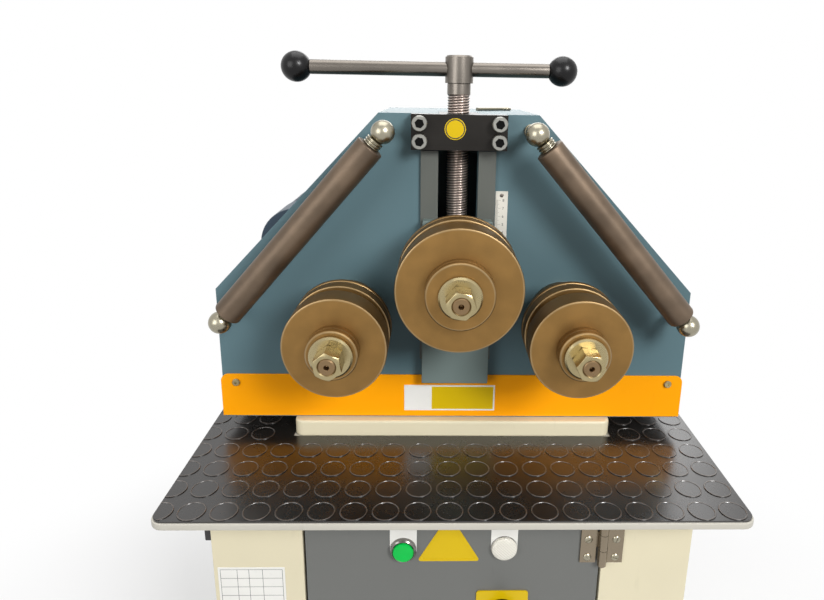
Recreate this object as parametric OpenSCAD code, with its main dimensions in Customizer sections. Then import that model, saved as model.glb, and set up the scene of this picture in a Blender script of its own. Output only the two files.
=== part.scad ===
// Angle roll bender: three-roll section bender on a floor cabinet.
// Origin on the floor, at the centre of the anchor-bolt rectangle. +X is the
// operator's right, +Y runs to the back, +Z is up. Sizes are in millimetres.

/* [Cabinet] */
// Width of the sheet cabinet
cab_w = 576; // [500:1:640]
// Depth of the sheet cabinet
cab_d = 400; // [360:1:480]
// Height of the cabinet, floor to platform
cab_h = 855; // [780:1:920]
// Sheet thickness of the cabinet
cab_sheet = 2.5; // [1.5:0.1:4]
// Thickness of the anchor plate on the floor
floor_t = 8; // [5:0.5:12]
// Width of the anchor lip outside the cabinet
floor_lip = 34; // [28:1:50]
// Anchor hole diameter
anchor_d = 14; // [10:0.5:16]

/* [Door] */
// Width of the door
door_w = 354; // [320:1:400]
// Depth of the folded door tray
door_depth = 18; // [14:0.5:24]
// Sheet thickness of the door
door_sheet = 2; // [1.2:0.1:3]
// Gap round the door
door_gap = 3; // [2:0.1:5]
// Height of the door's lower edge above the floor
door_sill = 66; // [50:1:100]
// Height of the rail above the door
door_head = 19; // [12:1:40]
// Height of one hinge
hinge_h = 66; // [45:1:80]
// Width of one hinge leaf from the knuckle axis
hinge_leaf_w = 26; // [20:0.5:34]
// Thickness of a hinge leaf
hinge_leaf_t = 2.5; // [1.5:0.1:3.5]
// Knuckle diameter
hinge_knuckle_d = 11; // [9:0.5:14]
// Hinge pin diameter
hinge_pin_d = 6; // [4:0.5:7]
// Distance of each hinge from the end of the door
hinge_inset = 15; // [4:1:60]

/* [Controls on the door] */
// Distance of the push button and of the lamp from the middle
control_x = 60.5; // [50:0.5:80]
// Depth of the controls below the top of the door
control_drop = 62; // [54:1:80]
// Outer diameter of a control bezel
bezel_d = 31; // [30:0.5:34]
// Height of a control bezel above its plate
bezel_h = 6; // [4:0.5:8]
// Mounting hole of a control
barrel_d = 22; // [20:0.5:24]
// Length of a control behind the door face
barrel_len = 45; // [40:1:60]
// Diameter of the stems inside the barrels
cap_d = 18; // [14:0.5:18.5]
// Diameter of the button's face
button_d = 26; // [22:0.5:26.5]
// Stroke of the push button
button_stroke = 4; // [2:0.5:6]
// Diameter of the ribbed lamp lens
lens_d = 29; // [24:0.5:30]
// Height of the lamp above the push button
lamp_rise = 2; // [0:0.5:6]
// Height of the lamp lens
lens_h = 5; // [4:0.5:12]
// Width of a legend plate
legend_w = 32; // [31:0.5:36]
// Height of a legend plate above its control
legend_rise = 30; // [22:0.5:34]
// Thickness of the thin plates and stickers
plate_t = 0.8; // [0.4:0.1:1.2]
// Width of the yellow triangle plate
sign_w = 76; // [50:1:80]
// Side of the square switch plate
switch_w = 64; // [50:1:80]
// Depth of the switch below the controls
switch_drop = 93; // [80:1:120]
// Diameter of the switch knob
switch_knob_d = 42; // [34:0.5:48]
// Diameter of the switch shaft
switch_shaft_d = 12; // [8:0.5:16]
// Height of the door latch above the floor
latch_z = 470; // [400:5:600]
// Diameter of the latch knob
latch_d = 30; // [24:0.5:40]
// Diameter of the latch shaft
latch_shaft_d = 14; // [10:0.5:18]
// Length of the latch cam from its shaft
latch_reach = 36; // [34:0.5:44]

/* [Platform] */
// Width of the platform plate
plat_w = 650; // [610:1:700]
// Overhang of the platform in front of the cabinet
plat_over = 68; // [40:1:100]
// Overhang of the platform behind the cabinet
plat_back = 10; // [0:1:30]
// Platform plate thickness
plat_t = 8; // [5:0.5:12]
// Corner radius of the platform
plat_r = 15; // [5:1:30]
// Inset of the mat from the plate's edge
mat_inset = 2; // [1:0.5:6]
// Mat thickness under the studs
mat_t = 2; // [1.5:0.1:4]
// Height of a coin stud
stud_h = 1; // [0.5:0.1:2]
// Diameter of a coin stud
stud_d = 30; // [22:0.5:31]
// Pitch of the columns of coin studs
stud_pitch = 34.6; // [34:0.2:44]
// Pitch of the rows of coin studs
stud_row = 38; // [34:0.5:44]
// Sideways shift of the stud columns
stud_shift = -7.5; // [-16:0.5:16]

/* [Pedestal and housing] */
// Pedestal width
ped_w = 416; // [360:1:460]
// Height of the pedestal top above the mat
ped_rise = 20; // [15:1:26]
// Pedestal margin in front of and behind the housing
ped_margin = 12.5; // [8:0.5:24]
// Corner radius of the pedestal
ped_r = 12; // [4:1:20]
// Distance of the housing face behind the cabinet face
house_setback = 110; // [100:1:140]
// Housing width
house_w = 600; // [590:1:660]
// Width of the flat top of the housing
house_top_w = 190; // [180:1:230]
// Height of the housing from its foot to the shoulders
shoulder_h = 176; // [165:1:200]
// Height of the housing from its foot to its top
house_h = 395; // [385:1:430]
// Depth of the housing
house_d = 180; // [172:1:220]
// Front plate thickness
front_t = 20; // [16:1:26]
// Back plate thickness
back_t = 16; // [12:1:20]
// Thickness of the wrapped skin
skin_t = 4; // [3:0.5:6]
// Height of the front guard
guard_h = 59; // [40:1:62]
// Gap between the pedestal and the guard
guard_gap = 2; // [1:0.5:6]
// Sheet thickness of the guard
guard_t = 2; // [1:0.1:2.5]
// Depth of the guard's side returns
guard_return = 25; // [15:1:40]
// Radius of the guard's upper corners
guard_r = 10; // [4:1:16]
// Screw diameter at the guard
guard_screw_d = 6; // [4:0.5:8]

/* [Slide and screw] */
// Width of the slot in the front plate
slot_w = 48; // [44:0.5:56]
// Height of the slot's foot above the mat
slot_foot = 130; // [120:1:135]
// Width of a slide strip beside the slot
strip_w = 21; // [16:0.5:24]
// Thickness of a slide strip
strip_t = 4.5; // [3.5:0.5:6]
// Width of the sliding plate
ram_w = 84; // [76:1:88]
// Thickness of the sliding plate
ram_t = 15; // [12:0.5:18]
// Height of the sliding plate's lower edge above the mat
ram_foot = 78; // [72:1:90]
// Height of the sliding plate
ram_h = 212; // [205:1:218]
// Height of the guide block
block_h = 116; // [113:1:126]
// Depth of the guide block
block_d = 75; // [72:1:85]
// Width of the shoulder behind the front plate
block_back_w = 80; // [70:1:90]
// Diameter of the adjusting screw
screw_d = 27.5; // [22:0.5:28]
// Distance of the screw axis behind the housing face
screw_y = 28; // [25:0.5:31]
// Diameter of the thrust collar on the screw
collar_d = 36; // [32:0.5:38]
// Depth of the thrust collar's pocket
collar_h = 12; // [8:0.5:16]
// Thickness of the thrust cap
cap_t = 8; // [5:0.5:9]
// Height of the tommy bar's axis above the mat
bar_z = 466; // [464:1:486]
// Diameter of the screw head
head_d = 34; // [30:0.5:40]
// Height of the screw head
head_h = 32; // [28:0.5:40]
// Height of the plain neck under the head
neck_h = 14; // [10:0.5:20]
// Diameter of the tommy bar
bar_d = 17; // [12:0.5:19]
// Distance between the ball knobs' centres
bar_span = 318; // [280:1:380]
// Shift of the tommy bar to the left
bar_shift = 35; // [0:1:60]
// Diameter of a ball knob
knob_d = 36; // [30:0.5:40]
// Width of the nut block
nut_w = 112; // [104:1:124]
// Height of the nut block
nut_h = 41; // [38:0.5:46]
// Thickness of the nut block in front of the housing
nut_t = 18; // [15:0.5:22]
// Sideways distance of the nut block's screws from the middle
nut_screw_x = 46; // [42:0.5:47]
// Height between the nut block's screws
nut_screw_pitch = 20.5; // [20:0.5:22]
// Diameter of the nut block's screws
cap_screw_d = 12; // [8:0.5:12]
// Length of the scale
scale_len = 101; // [80:1:130]
// Width of the scale
scale_w = 15; // [10:0.5:20]

/* [Rolls and drive] */
// Gear module as a share of the housing width
module_share = 0.005; // [0.0047:0.0001:0.0052]
// Teeth on each lower shaft's gear
lower_teeth = 56; // [54:1:58]
// Teeth on the idler between them
idler_teeth = 33; // [31:1:35]
// Teeth on the motor pinion
pinion_teeth = 18; // [16:1:20]
// Tooth of the left gear that points at the pinion
mesh_tooth = 25; // [25:1:26]
// Face width of the gears
gear_w = 25; // [18:1:30]
// Height of the lower shafts above the mat
lower_z = 171.5; // [168:0.5:174]
// Height of the upper shaft above the mat
upper_z = 237; // [232:0.5:242]
// Diameter of the lower rolls
lower_d = 114; // [100:1:118]
// Diameter of the upper roll
upper_d = 138; // [120:1:142]
// Diameter of the groove between the discs
groove_cut = 26; // [16:1:30]
// Distance of the rolls' front face from the housing face
roll_front = 124.5; // [120:0.5:135]
// Width of a front disc
disc_front_w = 30.5; // [26:0.5:34]
// Width of the groove
groove_w = 12.5; // [10:0.5:16]
// Width of a rear disc
disc_rear_w = 27; // [22:0.5:30]
// Shaft diameter
shaft_d = 35; // [30:0.5:36]
// Diameter of the threaded shaft end
stud_end_d = 18; // [16:0.5:20]
// Length of the collar in front of the discs
front_collar_w = 17; // [14:0.5:24]
// Diameter of the lower rolls' front collars
lower_collar_d = 56; // [48:0.5:64]
// Diameter of the upper roll's front collar
upper_collar_d = 74; // [60:0.5:80]
// Diameter of the spacers behind the discs
spacer_d = 60; // [50:0.5:66]
// Diameter of the washers
washer_d = 46; // [40:0.5:50]
// Thickness of the washers
washer_t = 5.5; // [4:0.5:8]
// Width of the hexagon nuts across the flats
nut_af = 27; // [26:0.5:30]
// Height of the hexagon nuts
nut_len = 21.5; // [16:0.5:28]
// Shaft end in front of the nut
end_proud = 0.5; // [0.5:0.5:8]
// Outer diameter of a bearing's body
bearing_d = 62; // [52:0.5:66]
// Diameter of a bearing's flange
flange_d = 76; // [70:0.5:94]
// Thickness of a bearing's flange
flange_t = 8; // [6:0.5:10]
// Diameter of the idler's stud and of the pinion shaft
stub_d = 25; // [20:0.5:28]

/* [Guide rollers] */
// Inset of the upper balls from the end of the housing's flat top
ball_top_inset = 9.5; // [7:0.5:15]
// Height of the upper balls above the mat
ball_top_z = 396; // [392:0.5:398]
// Inset of the lower balls from the housing's side
ball_low_inset = 21; // [19:0.5:30]
// Height of the lower balls above the mat
ball_low_z = 171.5; // [166:0.5:176]
// Distance of the guide axes from the housing face
guide_off = 50; // [46:0.5:54]
// Ball diameter
ball_d = 26.6; // [24:0.2:30]
// Diameter of a ball's post
post_d = 14; // [10:0.5:16]
// Guide roller diameter
guide_d = 33; // [28:0.5:36]
// Axle diameter inside a guide roller
axle_d = 12; // [8:0.5:14]
// Ridge diameter on the necks
ridge_d = 21; // [17:0.5:23]
// Width of a ridge on the necks
ridge_w = 2.5; // [1.5:0.5:3.5]

/* [Motor] */
// Diameter of the gearbox
gearbox_d = 110; // [90:1:116]
// Length of the gearbox
gearbox_len = 80; // [70:1:110]
// Diameter of the motor can
motor_d = 100; // [80:1:104]
// Length of the motor
motor_len = 120; // [100:1:160]
// Length of the fan cover
fan_len = 35; // [25:1:50]
// Height of the cooling fins
fin_h = 4; // [2:0.5:6]
// Thickness of a cooling fin
fin_t = 2; // [1.5:0.5:3]
// Length of the motor's end bell
end_bell = 8; // [6:1:16]
// Sheet thickness of the fan cover
cowl_t = 2; // [1:0.5:3]
// Diameter of a vent hole in the fan cover
vent_d = 12; // [8:0.5:14]
// Radius of the ring of vent holes
vent_r = 30; // [26:1:36]
// Width of the terminal box
terminal_w = 76; // [60:1:84]
// Length of the terminal box
terminal_len = 70; // [50:1:76]
// Height of the terminal box above the motor can
terminal_h = 34; // [20:1:44]
// Distance of the terminal box behind the gearbox
terminal_off = 22; // [14:1:30]

/* [Control gear] */
// Side of the mounting plate behind the door
board_w = 300; // [240:1:340]
// Thickness of the mounting plate
board_t = 3; // [2:0.5:5]
// Height of the mounting plate above the floor plate
board_rise = 330; // [280:5:380]
// Width of the contactor
contactor_w = 70; // [45:1:80]
// Depth of the contactor
contactor_d = 85; // [60:1:95]
// Width of the relay
relay_w = 50; // [22:1:60]
// Depth of the relay
relay_d = 60; // [50:1:80]
// Height of the contactor and of the relay
relay_h = 85; // [70:1:95]
// Width of the transformer
transformer_w = 90; // [70:1:100]
// Depth of the transformer
transformer_d = 75; // [60:1:90]
// Height of the transformer
transformer_h = 80; // [60:1:100]

/* [Hidden] */
$fn = 64;
// Radial clearance of running fits
fit = 0.05;
// Clearance of sliding faces
slide = 0.3;
// Parting line between pieces that are clamped face to face
seat = 0.05;
// Small overshoot of cuts
eps = 1;

// Smaller sizes, by the piece they belong to
guard_screw_inset = 20;
guard_screw_drop = 11;
guard_head_d = 10.2;
guard_head_h = 3;
guard_socket = 3.6;
hinge_stand = 0.5;
hinge_side_gap = 1;
hinge_lap = 2;
hinge_pin_proud = 3;
hinge_head_d = 7;
hinge_head_h = 2;
hinge_screw_share = 0.68;
hinge_screw_rows = [0.12, 0.5, 0.88];
latch_inset = 17;
latch_knob_h = 12;
latch_gap = 0.7;
flange_extra = 1;
stud_margin = 0.5;
mat_edge = 1;
stud_keep = 2;
stud_sliver = 4;
mat_clear = 1;
tongue_play = 0.4;
tongue_wall = 11;
strip_rise = 24;
strip_gap = 2;
strip_hole_d = 9;
strip_hole_depth = 3;
strip_hole_rows = [0.1, 0.5];
block_drop = 81;
block_back_inset = 10;
block_back_t = 14;
cap_lip = 5;
gear_room = 19;
head_share = 1.5;
socket_share = 0.8;
scale_gap = 1;
scale_drop = 50;
scale_hole_d = 3;
scale_hole_inset = 5;
post_flange_d = 17;
post_flange_t = 3;
post_pin_depth = 7;
axle_pin_len = 6;
centre_depth = 6;
collar_line_y = 8;
collar_line_w = 2;
collar_line_depth = 1.5;
disc_line_share = 0.6;
disc_line_w = 3;
disc_line_depth = 2;
upper_keeper_d = 49;
idler_keeper_t = 4;
idler_keeper_d = 33;
idler_shoulder_d = 35;
idler_head_d = 40;
idler_head_t = 6;
pinion_clear = 14;
pinion_extra = 2;
pinion_tail = 6;

cab_front = -cab_d / 2;
cab_back = cab_d / 2;
face_y = cab_front + house_setback;
plat_top = cab_h + plat_t;
mat_z = plat_top + mat_t + stud_h;

// Heights above the mat and depths behind the housing face
house_z0 = ped_rise;
shoulder_z = house_z0 + shoulder_h;
house_z1 = house_z0 + house_h;
guard_z0 = house_z0 + guard_gap;
guard_z1 = guard_z0 + guard_h;
guard_x = house_w / 2 + guard_t;
guard_screw_x = guard_x - guard_screw_inset;
guard_screw_z = guard_z1 - guard_screw_drop;
back_y = house_d - back_t;

door_x = door_w / 2;
door_open_x = door_x + door_gap;
door_z0 = door_sill;
door_z1 = cab_h - door_head;
hinge_x = door_x + door_gap / 2;
hinge_y = -hinge_knuckle_d / 2 - hinge_stand;
hinge_zs = [door_z0 + hinge_inset, door_z1 - hinge_inset - hinge_h];
knuckle_h = hinge_h / 3;
control_z = door_z1 - control_drop;
lamp_z = control_z + lamp_rise;
switch_z = control_z - switch_drop;
latch_x = -(door_x - latch_inset);
flange_depth = door_depth + flange_extra;
cam_t = 4;
cam_w = 14;

nut_z0 = house_z1 - nut_h;
nut_mid = house_z1 - nut_h / 2;
tongue_w = slot_w - tongue_play;
tongue_d = screw_y + screw_d / 2 + tongue_wall;
strip_z0 = guard_z1 + strip_rise;
strip_z1 = nut_z0 - strip_gap;
ram_back = -strip_t - slide;
ram_front = ram_back - ram_t;
block_w = slot_w - 2 * slide;
block_z0 = upper_z - block_drop;
block_z1 = block_z0 + block_h;
block_y1 = ram_back + block_d;
cap_z1 = block_z1 + cap_t;
head_z0 = bar_z - head_h / 2;
neck_z0 = head_z0 - neck_h;
spigot_d = 18;
spigot_h = 4;
ball_flat = sqrt(pow(knob_d / 2, 2) - pow(bar_d / 2, 2));
tenon_d = 10;
tenon_len = 12;

// Roll positions follow from the gear train
gear_m = house_w * module_share;
lower_x = gear_m * (lower_teeth + idler_teeth) / 2;
mesh_dir = mesh_tooth * 360 / lower_teeth;
pinion_r = gear_m * (lower_teeth + pinion_teeth) / 2;
// Turns that put a gap of one gear where its neighbour has a tooth
idler_turn = 180 + 180 / idler_teeth;
right_turn = 180 + (180 - (idler_turn % (360 / idler_teeth)) * idler_teeth) / lower_teeth;
pinion_turn = mesh_dir + 180 + 180 / pinion_teeth;
motor_x = -lower_x + pinion_r * cos(mesh_dir);
motor_z = lower_z + pinion_r * sin(mesh_dir);
gear_y0 = back_y - gear_room - gear_w;
front_collar_y = -roll_front - front_collar_w;
washer_y = front_collar_y - washer_t;
nut_y = washer_y - nut_len;
shaft_y0 = nut_y - end_proud;
groove_y = -roll_front + disc_front_w;
rear_disc_y = groove_y + groove_w;
spacer_y = rear_disc_y + disc_rear_w;
keeper_w = 10;

ball_top_x = house_top_w / 2 - ball_top_inset;
ball_low_x = house_w / 2 - ball_low_inset;
guide_dx = ball_low_x - ball_top_x;
guide_dz = ball_low_z - ball_top_z;
guide_len = norm([guide_dx, guide_dz]);
guide_tilt = atan2(guide_dx, guide_dz);
ball_cut = ball_d / 2 - 1.6;
ridge_gap = ridge_w / 4;
neck_len = 3 * ridge_w + 2 * ridge_gap;
low_neck = ridge_w * 0.8;
axle_pin_d = 8;
roller_z0 = ball_cut + neck_len + slide;
roller_len = guide_len - ball_cut - low_neck - slide - roller_z0;

// Named colours
cream = [0.88, 0.84, 0.71];
housing_blue = [0.33, 0.44, 0.47];
guard_orange = [1.0, 0.61, 0.02];
steel = [0.62, 0.61, 0.59];
dark_steel = [0.22, 0.21, 0.21];
oxide = [0.50, 0.39, 0.25];
roller_brown = [0.40, 0.33, 0.27];
chrome = [0.80, 0.80, 0.79];
zinc = [0.80, 0.76, 0.58];
black = [0.13, 0.12, 0.12];
door_grey = [0.44, 0.45, 0.44];
motor_blue = [0.16, 0.23, 0.30];
yellow = [0.96, 0.82, 0.10];
white = [0.92, 0.92, 0.90];

// Helpers

// Places what is drawn behind the housing face and above the mat
module at_face() translate([0, face_y, mat_z]) children();

// Places what is drawn from the cabinet's front sheet
module at_door() translate([0, cab_front, 0]) children();

// Box between two corners
module box(a, b) translate(a) cube(b - a);

// Cylinder along Y from y0 to y1
module rod_y(d, y0, y1, x = 0, z = 0)
  translate([x, y1, z]) rotate([90, 0, 0]) cylinder(d = d, h = y1 - y0);

// Hexagon along Y, flats up and down turned by the given angle
module hex_y(af, y0, y1, x = 0, z = 0, turn = 0)
  translate([x, y1, z]) rotate([90, turn, 0]) cylinder(d = af / cos(30), h = y1 - y0, $fn = 6);

// Prism of a drawing in X and Z from y0 to y1
module prism_y(y0, y1) translate([0, y1, 0]) rotate([90, 0, 0]) linear_extrude(y1 - y0) children();

// Rectangle with round corners
module rounded(w, d, r) {
  square([w - 2 * r, d], center = true);
  square([w, d - 2 * r], center = true);
  for (sx = [-1, 1], sy = [-1, 1]) translate([sx * (w / 2 - r), sy * (d / 2 - r)]) circle(r);
}

// Ring along Y
module ring_y(d, bore, y0, y1, x = 0, z = 0)
  difference() {
    rod_y(d, y0, y1, x, z);
    rod_y(bore, y0 - eps, y1 + eps, x, z);
  }

// Outline of the housing, drawn in by an inset
function house_points(inset) =
  let (
    run = (house_w - house_top_w) / 2,
    rise = house_z1 - shoulder_z,
    nx = rise / norm([run, rise]),
    nz = run / norm([run, rise]),
    reach = nx * house_w / 2 + nz * shoulder_z - inset,
    side = house_w / 2 - inset,
    top = house_z1 - inset,
    shoulder = (reach - nx * side) / nz,
    crown = (reach - nz * top) / nx
  )
  [[-side, house_z0 + inset], [side, house_z0 + inset], [side, shoulder],
   [crown, top], [-crown, top], [-side, shoulder]];

// Straight-flanked gear tooth outline
function tooth_points(teeth, turn) =
  let (
    pitch_r = gear_m * teeth / 2,
    root_r = pitch_r - 1.3 * gear_m,
    tip_r = pitch_r + 0.85 * gear_m,
    half = gear_m * 0.62,
    lean = tan(20),
    root_a = (half + 1.3 * gear_m * lean) / root_r * 180 / PI,
    tip_a = (half - 0.85 * gear_m * lean) / tip_r * 180 / PI
  )
  [for (i = [0 : teeth - 1])
    for (p = [[root_r, -root_a], [tip_r, -tip_a], [tip_r, tip_a], [root_r, root_a]])
      let (a = turn + i * 360 / teeth + p[1]) p[0] * [cos(a), sin(a)]];

module gear_y(teeth, turn, bore, y0, y1, x, z)
  difference() {
    translate([x, 0, z]) prism_y(y0, y1) polygon(tooth_points(teeth, turn));
    rod_y(bore, y0 - eps, y1 + eps, x, z);
  }

// Cabinet, platform and pedestal

module cabinet_shell() color(cream) {
  inner = cab_sheet;
  difference() {
    box([-cab_w / 2, cab_front, floor_t], [cab_w / 2, cab_back, cab_h]);
    box([-cab_w / 2 + inner, cab_front + inner, floor_t + inner],
        [cab_w / 2 - inner, cab_back - inner, cab_h - inner]);
    box([-door_open_x, cab_front - eps, door_z0 - door_gap],
        [door_open_x, cab_front + inner + eps, door_z1 + door_gap]);
  }
  at_door() for (s = [-1, 1])
    box([min(s * door_open_x, s * (door_open_x + inner)), 0, door_z0 - door_gap],
        [max(s * door_open_x, s * (door_open_x + inner)), flange_depth, door_z1 + door_gap]);
}

module floor_plate() color(dark_steel) difference() {
  box([-cab_w / 2 - floor_lip, cab_front - floor_lip, 0],
      [cab_w / 2 + floor_lip, cab_back + floor_lip, floor_t]);
  for (sx = [-1, 1], sy = [-1, 1])
    translate([sx * (cab_w + floor_lip) / 2, sy * (cab_d + floor_lip) / 2, -eps])
      cylinder(d = anchor_d, h = floor_t + 2 * eps);
}

module platform_outline(inset) {
  depth = cab_d + plat_over + plat_back;
  translate([0, (plat_back - plat_over) / 2])
    rounded(plat_w - 2 * inset, depth - 2 * inset, plat_r - inset);
}

module pedestal_outline(margin) {
  depth = house_d + 2 * ped_margin;
  translate([0, face_y + house_d / 2]) rounded(ped_w + 2 * margin, depth + 2 * margin, ped_r + margin);
}

module platform_plate() color(cream) translate([0, 0, cab_h]) linear_extrude(plat_t) platform_outline(0);

module rubber_mat() color(black) {
  reach = plat_w / 2 - mat_inset - mat_edge + stud_d / 2 - stud_sliver;
  columns = ceil(reach / stud_pitch);
  first = cab_front - plat_over + mat_inset + stud_d / 2 + stud_margin;
  last = cab_back + plat_back - mat_inset - stud_d / 2 - mat_edge;
  rows = floor((last - first) / stud_row);
  keep_x = ped_w / 2 + stud_d / 2 + stud_keep;
  keep_y0 = face_y - ped_margin - stud_d / 2 - stud_keep;
  keep_y1 = face_y + house_d + ped_margin + stud_d / 2 + stud_keep;
  translate([0, 0, plat_top]) linear_extrude(mat_t) difference() {
    platform_outline(mat_inset);
    pedestal_outline(mat_clear);
  }
  translate([0, 0, plat_top + mat_t]) linear_extrude(stud_h) intersection() {
    platform_outline(mat_inset + stud_margin);
    for (i = [-columns : columns], j = [0 : rows]) {
      x = i * stud_pitch + stud_shift;
      y = first + j * stud_row;
      clear = abs(x) > keep_x || y < keep_y0 || y > keep_y1;
      if (clear && abs(x) < reach) translate([x, y]) circle(d = stud_d);
    }
  }
}

module pedestal_plate() color(cream)
  translate([0, 0, plat_top]) linear_extrude(mat_z + ped_rise - plat_top) pedestal_outline(0);

// Housing

module guide_holes(d, depth)
  for (s = [-1, 1], p = [[ball_top_x, ball_top_z], [ball_low_x, ball_low_z]])
    rod_y(d, -eps, depth, s * p[0], p[1]);

module nut_screw_holes(y0, y1)
  for (sx = [-1, 1], sz = [-1, 1])
    rod_y(cap_screw_d + 2 * fit, y0, y1, sx * nut_screw_x, nut_mid + sz * nut_screw_pitch / 2);

module guard_screw_holes(y0, y1)
  for (s = [-1, 1]) rod_y(guard_screw_d + 2 * fit, y0, y1, s * guard_screw_x, guard_screw_z);

post_spigot_d = 10;
post_spigot_len = 14;
nut_screw_len = nut_t + 14;
guard_screw_len = 12;

module front_plate() color(housing_blue) at_face() difference() {
  prism_y(0, front_t) polygon(house_points(0));
  box([-slot_w / 2, -eps, slot_foot], [slot_w / 2, front_t + eps, house_z1 + eps]);
  for (s = [-1, 1]) rod_y(bearing_d + 2 * fit, -eps, front_t + eps, s * lower_x, lower_z);
  guide_holes(post_spigot_d + 2 * fit, post_spigot_len + slide);
  nut_screw_holes(-eps, nut_screw_len - nut_t + slide);
  guard_screw_holes(-eps, guard_screw_len + slide);
}

module back_plate() color(housing_blue) at_face() difference() {
  prism_y(back_y, house_d) polygon(house_points(0));
  for (s = [-1, 1]) rod_y(bearing_d + 2 * fit, back_y - eps, house_d + eps, s * lower_x, lower_z);
  rod_y(stub_d + 2 * fit, back_y - eps, house_d + eps, 0, lower_z);
  rod_y(stub_d + pinion_clear, back_y - eps, house_d + eps, motor_x, motor_z);
}

module housing_skin() color(housing_blue) at_face() difference() {
  prism_y(front_t, back_y) polygon(house_points(0));
  prism_y(front_t - eps, back_y + eps) polygon(house_points(skin_t));
  box([-slot_w / 2, front_t - eps, house_z1 - skin_t - eps],
      [slot_w / 2, tongue_d + slide, house_z1 + eps]);
}

module front_guard() color(guard_orange) at_face() {
  difference() {
    prism_y(-guard_t, 0) {
      translate([-guard_x, guard_z0]) square([2 * guard_x, guard_h - guard_r]);
      translate([-guard_x + guard_r, guard_z0]) square([2 * (guard_x - guard_r), guard_h]);
      for (s = [-1, 1]) translate([s * (guard_x - guard_r), guard_z1 - guard_r]) circle(guard_r);
    }
    guard_screw_holes(-guard_t - eps, eps);
  }
  for (s = [-1, 1])
    box([s > 0 ? house_w / 2 : -guard_x, -guard_t, guard_z0],
        [s > 0 ? guard_x : -house_w / 2, guard_return, guard_z1 - guard_r]);
}

module guard_screws() color(zinc) at_face()
  for (s = [-1, 1]) {
    rod_y(guard_screw_d, -guard_t, guard_screw_len, s * guard_screw_x, guard_screw_z);
    difference() {
      rod_y(guard_head_d, -guard_t - guard_head_h, -guard_t, s * guard_screw_x, guard_screw_z);
      hex_y(guard_socket, -guard_t - guard_head_h - eps, -guard_t - guard_head_h / 3,
            s * guard_screw_x, guard_screw_z);
    }
  }

// Blank notice on the guard, oil mark on the nut block, ruled label on the stile
notice_w = 119;
notice_h = 36.5;
notice_x = -5.5;
oil_d = 24.6;
oil_off = [-5, 4];
notice_rise = 8.5;
label_w = 80;
label_h = 130;
label_inset = 5;
label_drop = 118;
module stickers() {
  notice_z = guard_z0 + notice_rise;
  label_x = -cab_w / 2 + label_inset;
  label_z = mat_z - label_drop;
  color(white) at_face() box([notice_x - notice_w / 2, -guard_t - plate_t, notice_z],
                             [notice_x + notice_w / 2, -guard_t, notice_z + notice_h]);
  color(yellow) at_face() rod_y(oil_d, -nut_t - plate_t, -nut_t, oil_off[0], nut_mid + oil_off[1]);
  color(white) at_door() box([label_x, -plate_t, label_z - label_h], [label_x + label_w, 0, label_z]);
}

module slide_strips() color(steel) at_face()
  for (s = [-1, 1]) difference() {
    box([s > 0 ? slot_w / 2 : -slot_w / 2 - strip_w, -strip_t, strip_z0],
        [s > 0 ? slot_w / 2 + strip_w : -slot_w / 2, 0, strip_z1]);
    for (k = strip_hole_rows)
      rod_y(strip_hole_d, -strip_t - eps, -strip_t + strip_hole_depth,
            s * (slot_w + strip_w) / 2, strip_z0 + k * (strip_z1 - strip_z0));
  }

module nut_block() color(dark_steel) at_face() difference() {
  union() {
    box([-nut_w / 2, -nut_t, nut_z0], [nut_w / 2, 0, house_z1]);
    box([-tongue_w / 2, -eps, nut_z0], [tongue_w / 2, tongue_d, house_z1]);
  }
  translate([0, screw_y, nut_z0 - eps]) cylinder(d = screw_d + 2 * fit, h = nut_h + 2 * eps);
  nut_screw_holes(-nut_t - eps, eps);
}

module nut_block_screws() color(dark_steel) at_face()
  for (sx = [-1, 1], sz = [-1, 1]) {
    x = sx * nut_screw_x;
    z = nut_mid + sz * nut_screw_pitch / 2;
    rod_y(cap_screw_d, -nut_t, nut_screw_len - nut_t, x, z);
    difference() {
      rod_y(head_share * cap_screw_d, -nut_t - cap_screw_d, -nut_t, x, z);
      hex_y(socket_share * cap_screw_d, -nut_t - cap_screw_d - eps, -nut_t - cap_screw_d / 2, x, z);
    }
  }

module scale_plate() color(chrome) at_face() difference() {
  x0 = slot_w / 2 + strip_w + scale_gap;
  z1 = nut_z0 - scale_drop;
  box([x0, -plate_t, z1 - scale_len], [x0 + scale_w, 0, z1]);
  for (z = [z1 - scale_hole_inset, z1 - scale_len + scale_hole_inset])
    rod_y(scale_hole_d, -plate_t - eps, eps, x0 + scale_w / 2, z);
}

module shaft_bearings() color(steel) at_face()
  for (s = [-1, 1]) {
    ring_y(bearing_d, shaft_d + 2 * fit, 0, front_t, s * lower_x, lower_z);
    ring_y(flange_d, shaft_d + 2 * fit, -flange_t, 0, s * lower_x, lower_z);
    ring_y(bearing_d, shaft_d + 2 * fit, back_y, house_d, s * lower_x, lower_z);
    ring_y(flange_d, shaft_d + 2 * fit, house_d, house_d + flange_t, s * lower_x, lower_z);
  }

module idler_stud() color(steel) at_face() {
  keeper = gear_y0 - slide - idler_keeper_t;
  rod_y(stub_d, keeper - idler_keeper_t, house_d, 0, lower_z);
  rod_y(idler_shoulder_d, gear_y0 + gear_w + slide, back_y, 0, lower_z);
  rod_y(idler_head_d, house_d, house_d + idler_head_t, 0, lower_z);
  ring_y(idler_keeper_d, stub_d + 2 * fit, keeper, keeper + idler_keeper_t, 0, lower_z);
}

// Motor drive behind the housing

shaft_in_box = 50;
gearbox_y1 = house_d + gearbox_len;
motor_y1 = gearbox_y1 + motor_len;
fan_y1 = motor_y1 + fan_len;

module gearbox() color(motor_blue) at_face() difference() {
  rod_y(gearbox_d, house_d, gearbox_y1, motor_x, motor_z);
  rod_y(stub_d + 2 * fit, house_d - eps, house_d + shaft_in_box, motor_x, motor_z);
}

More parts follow.
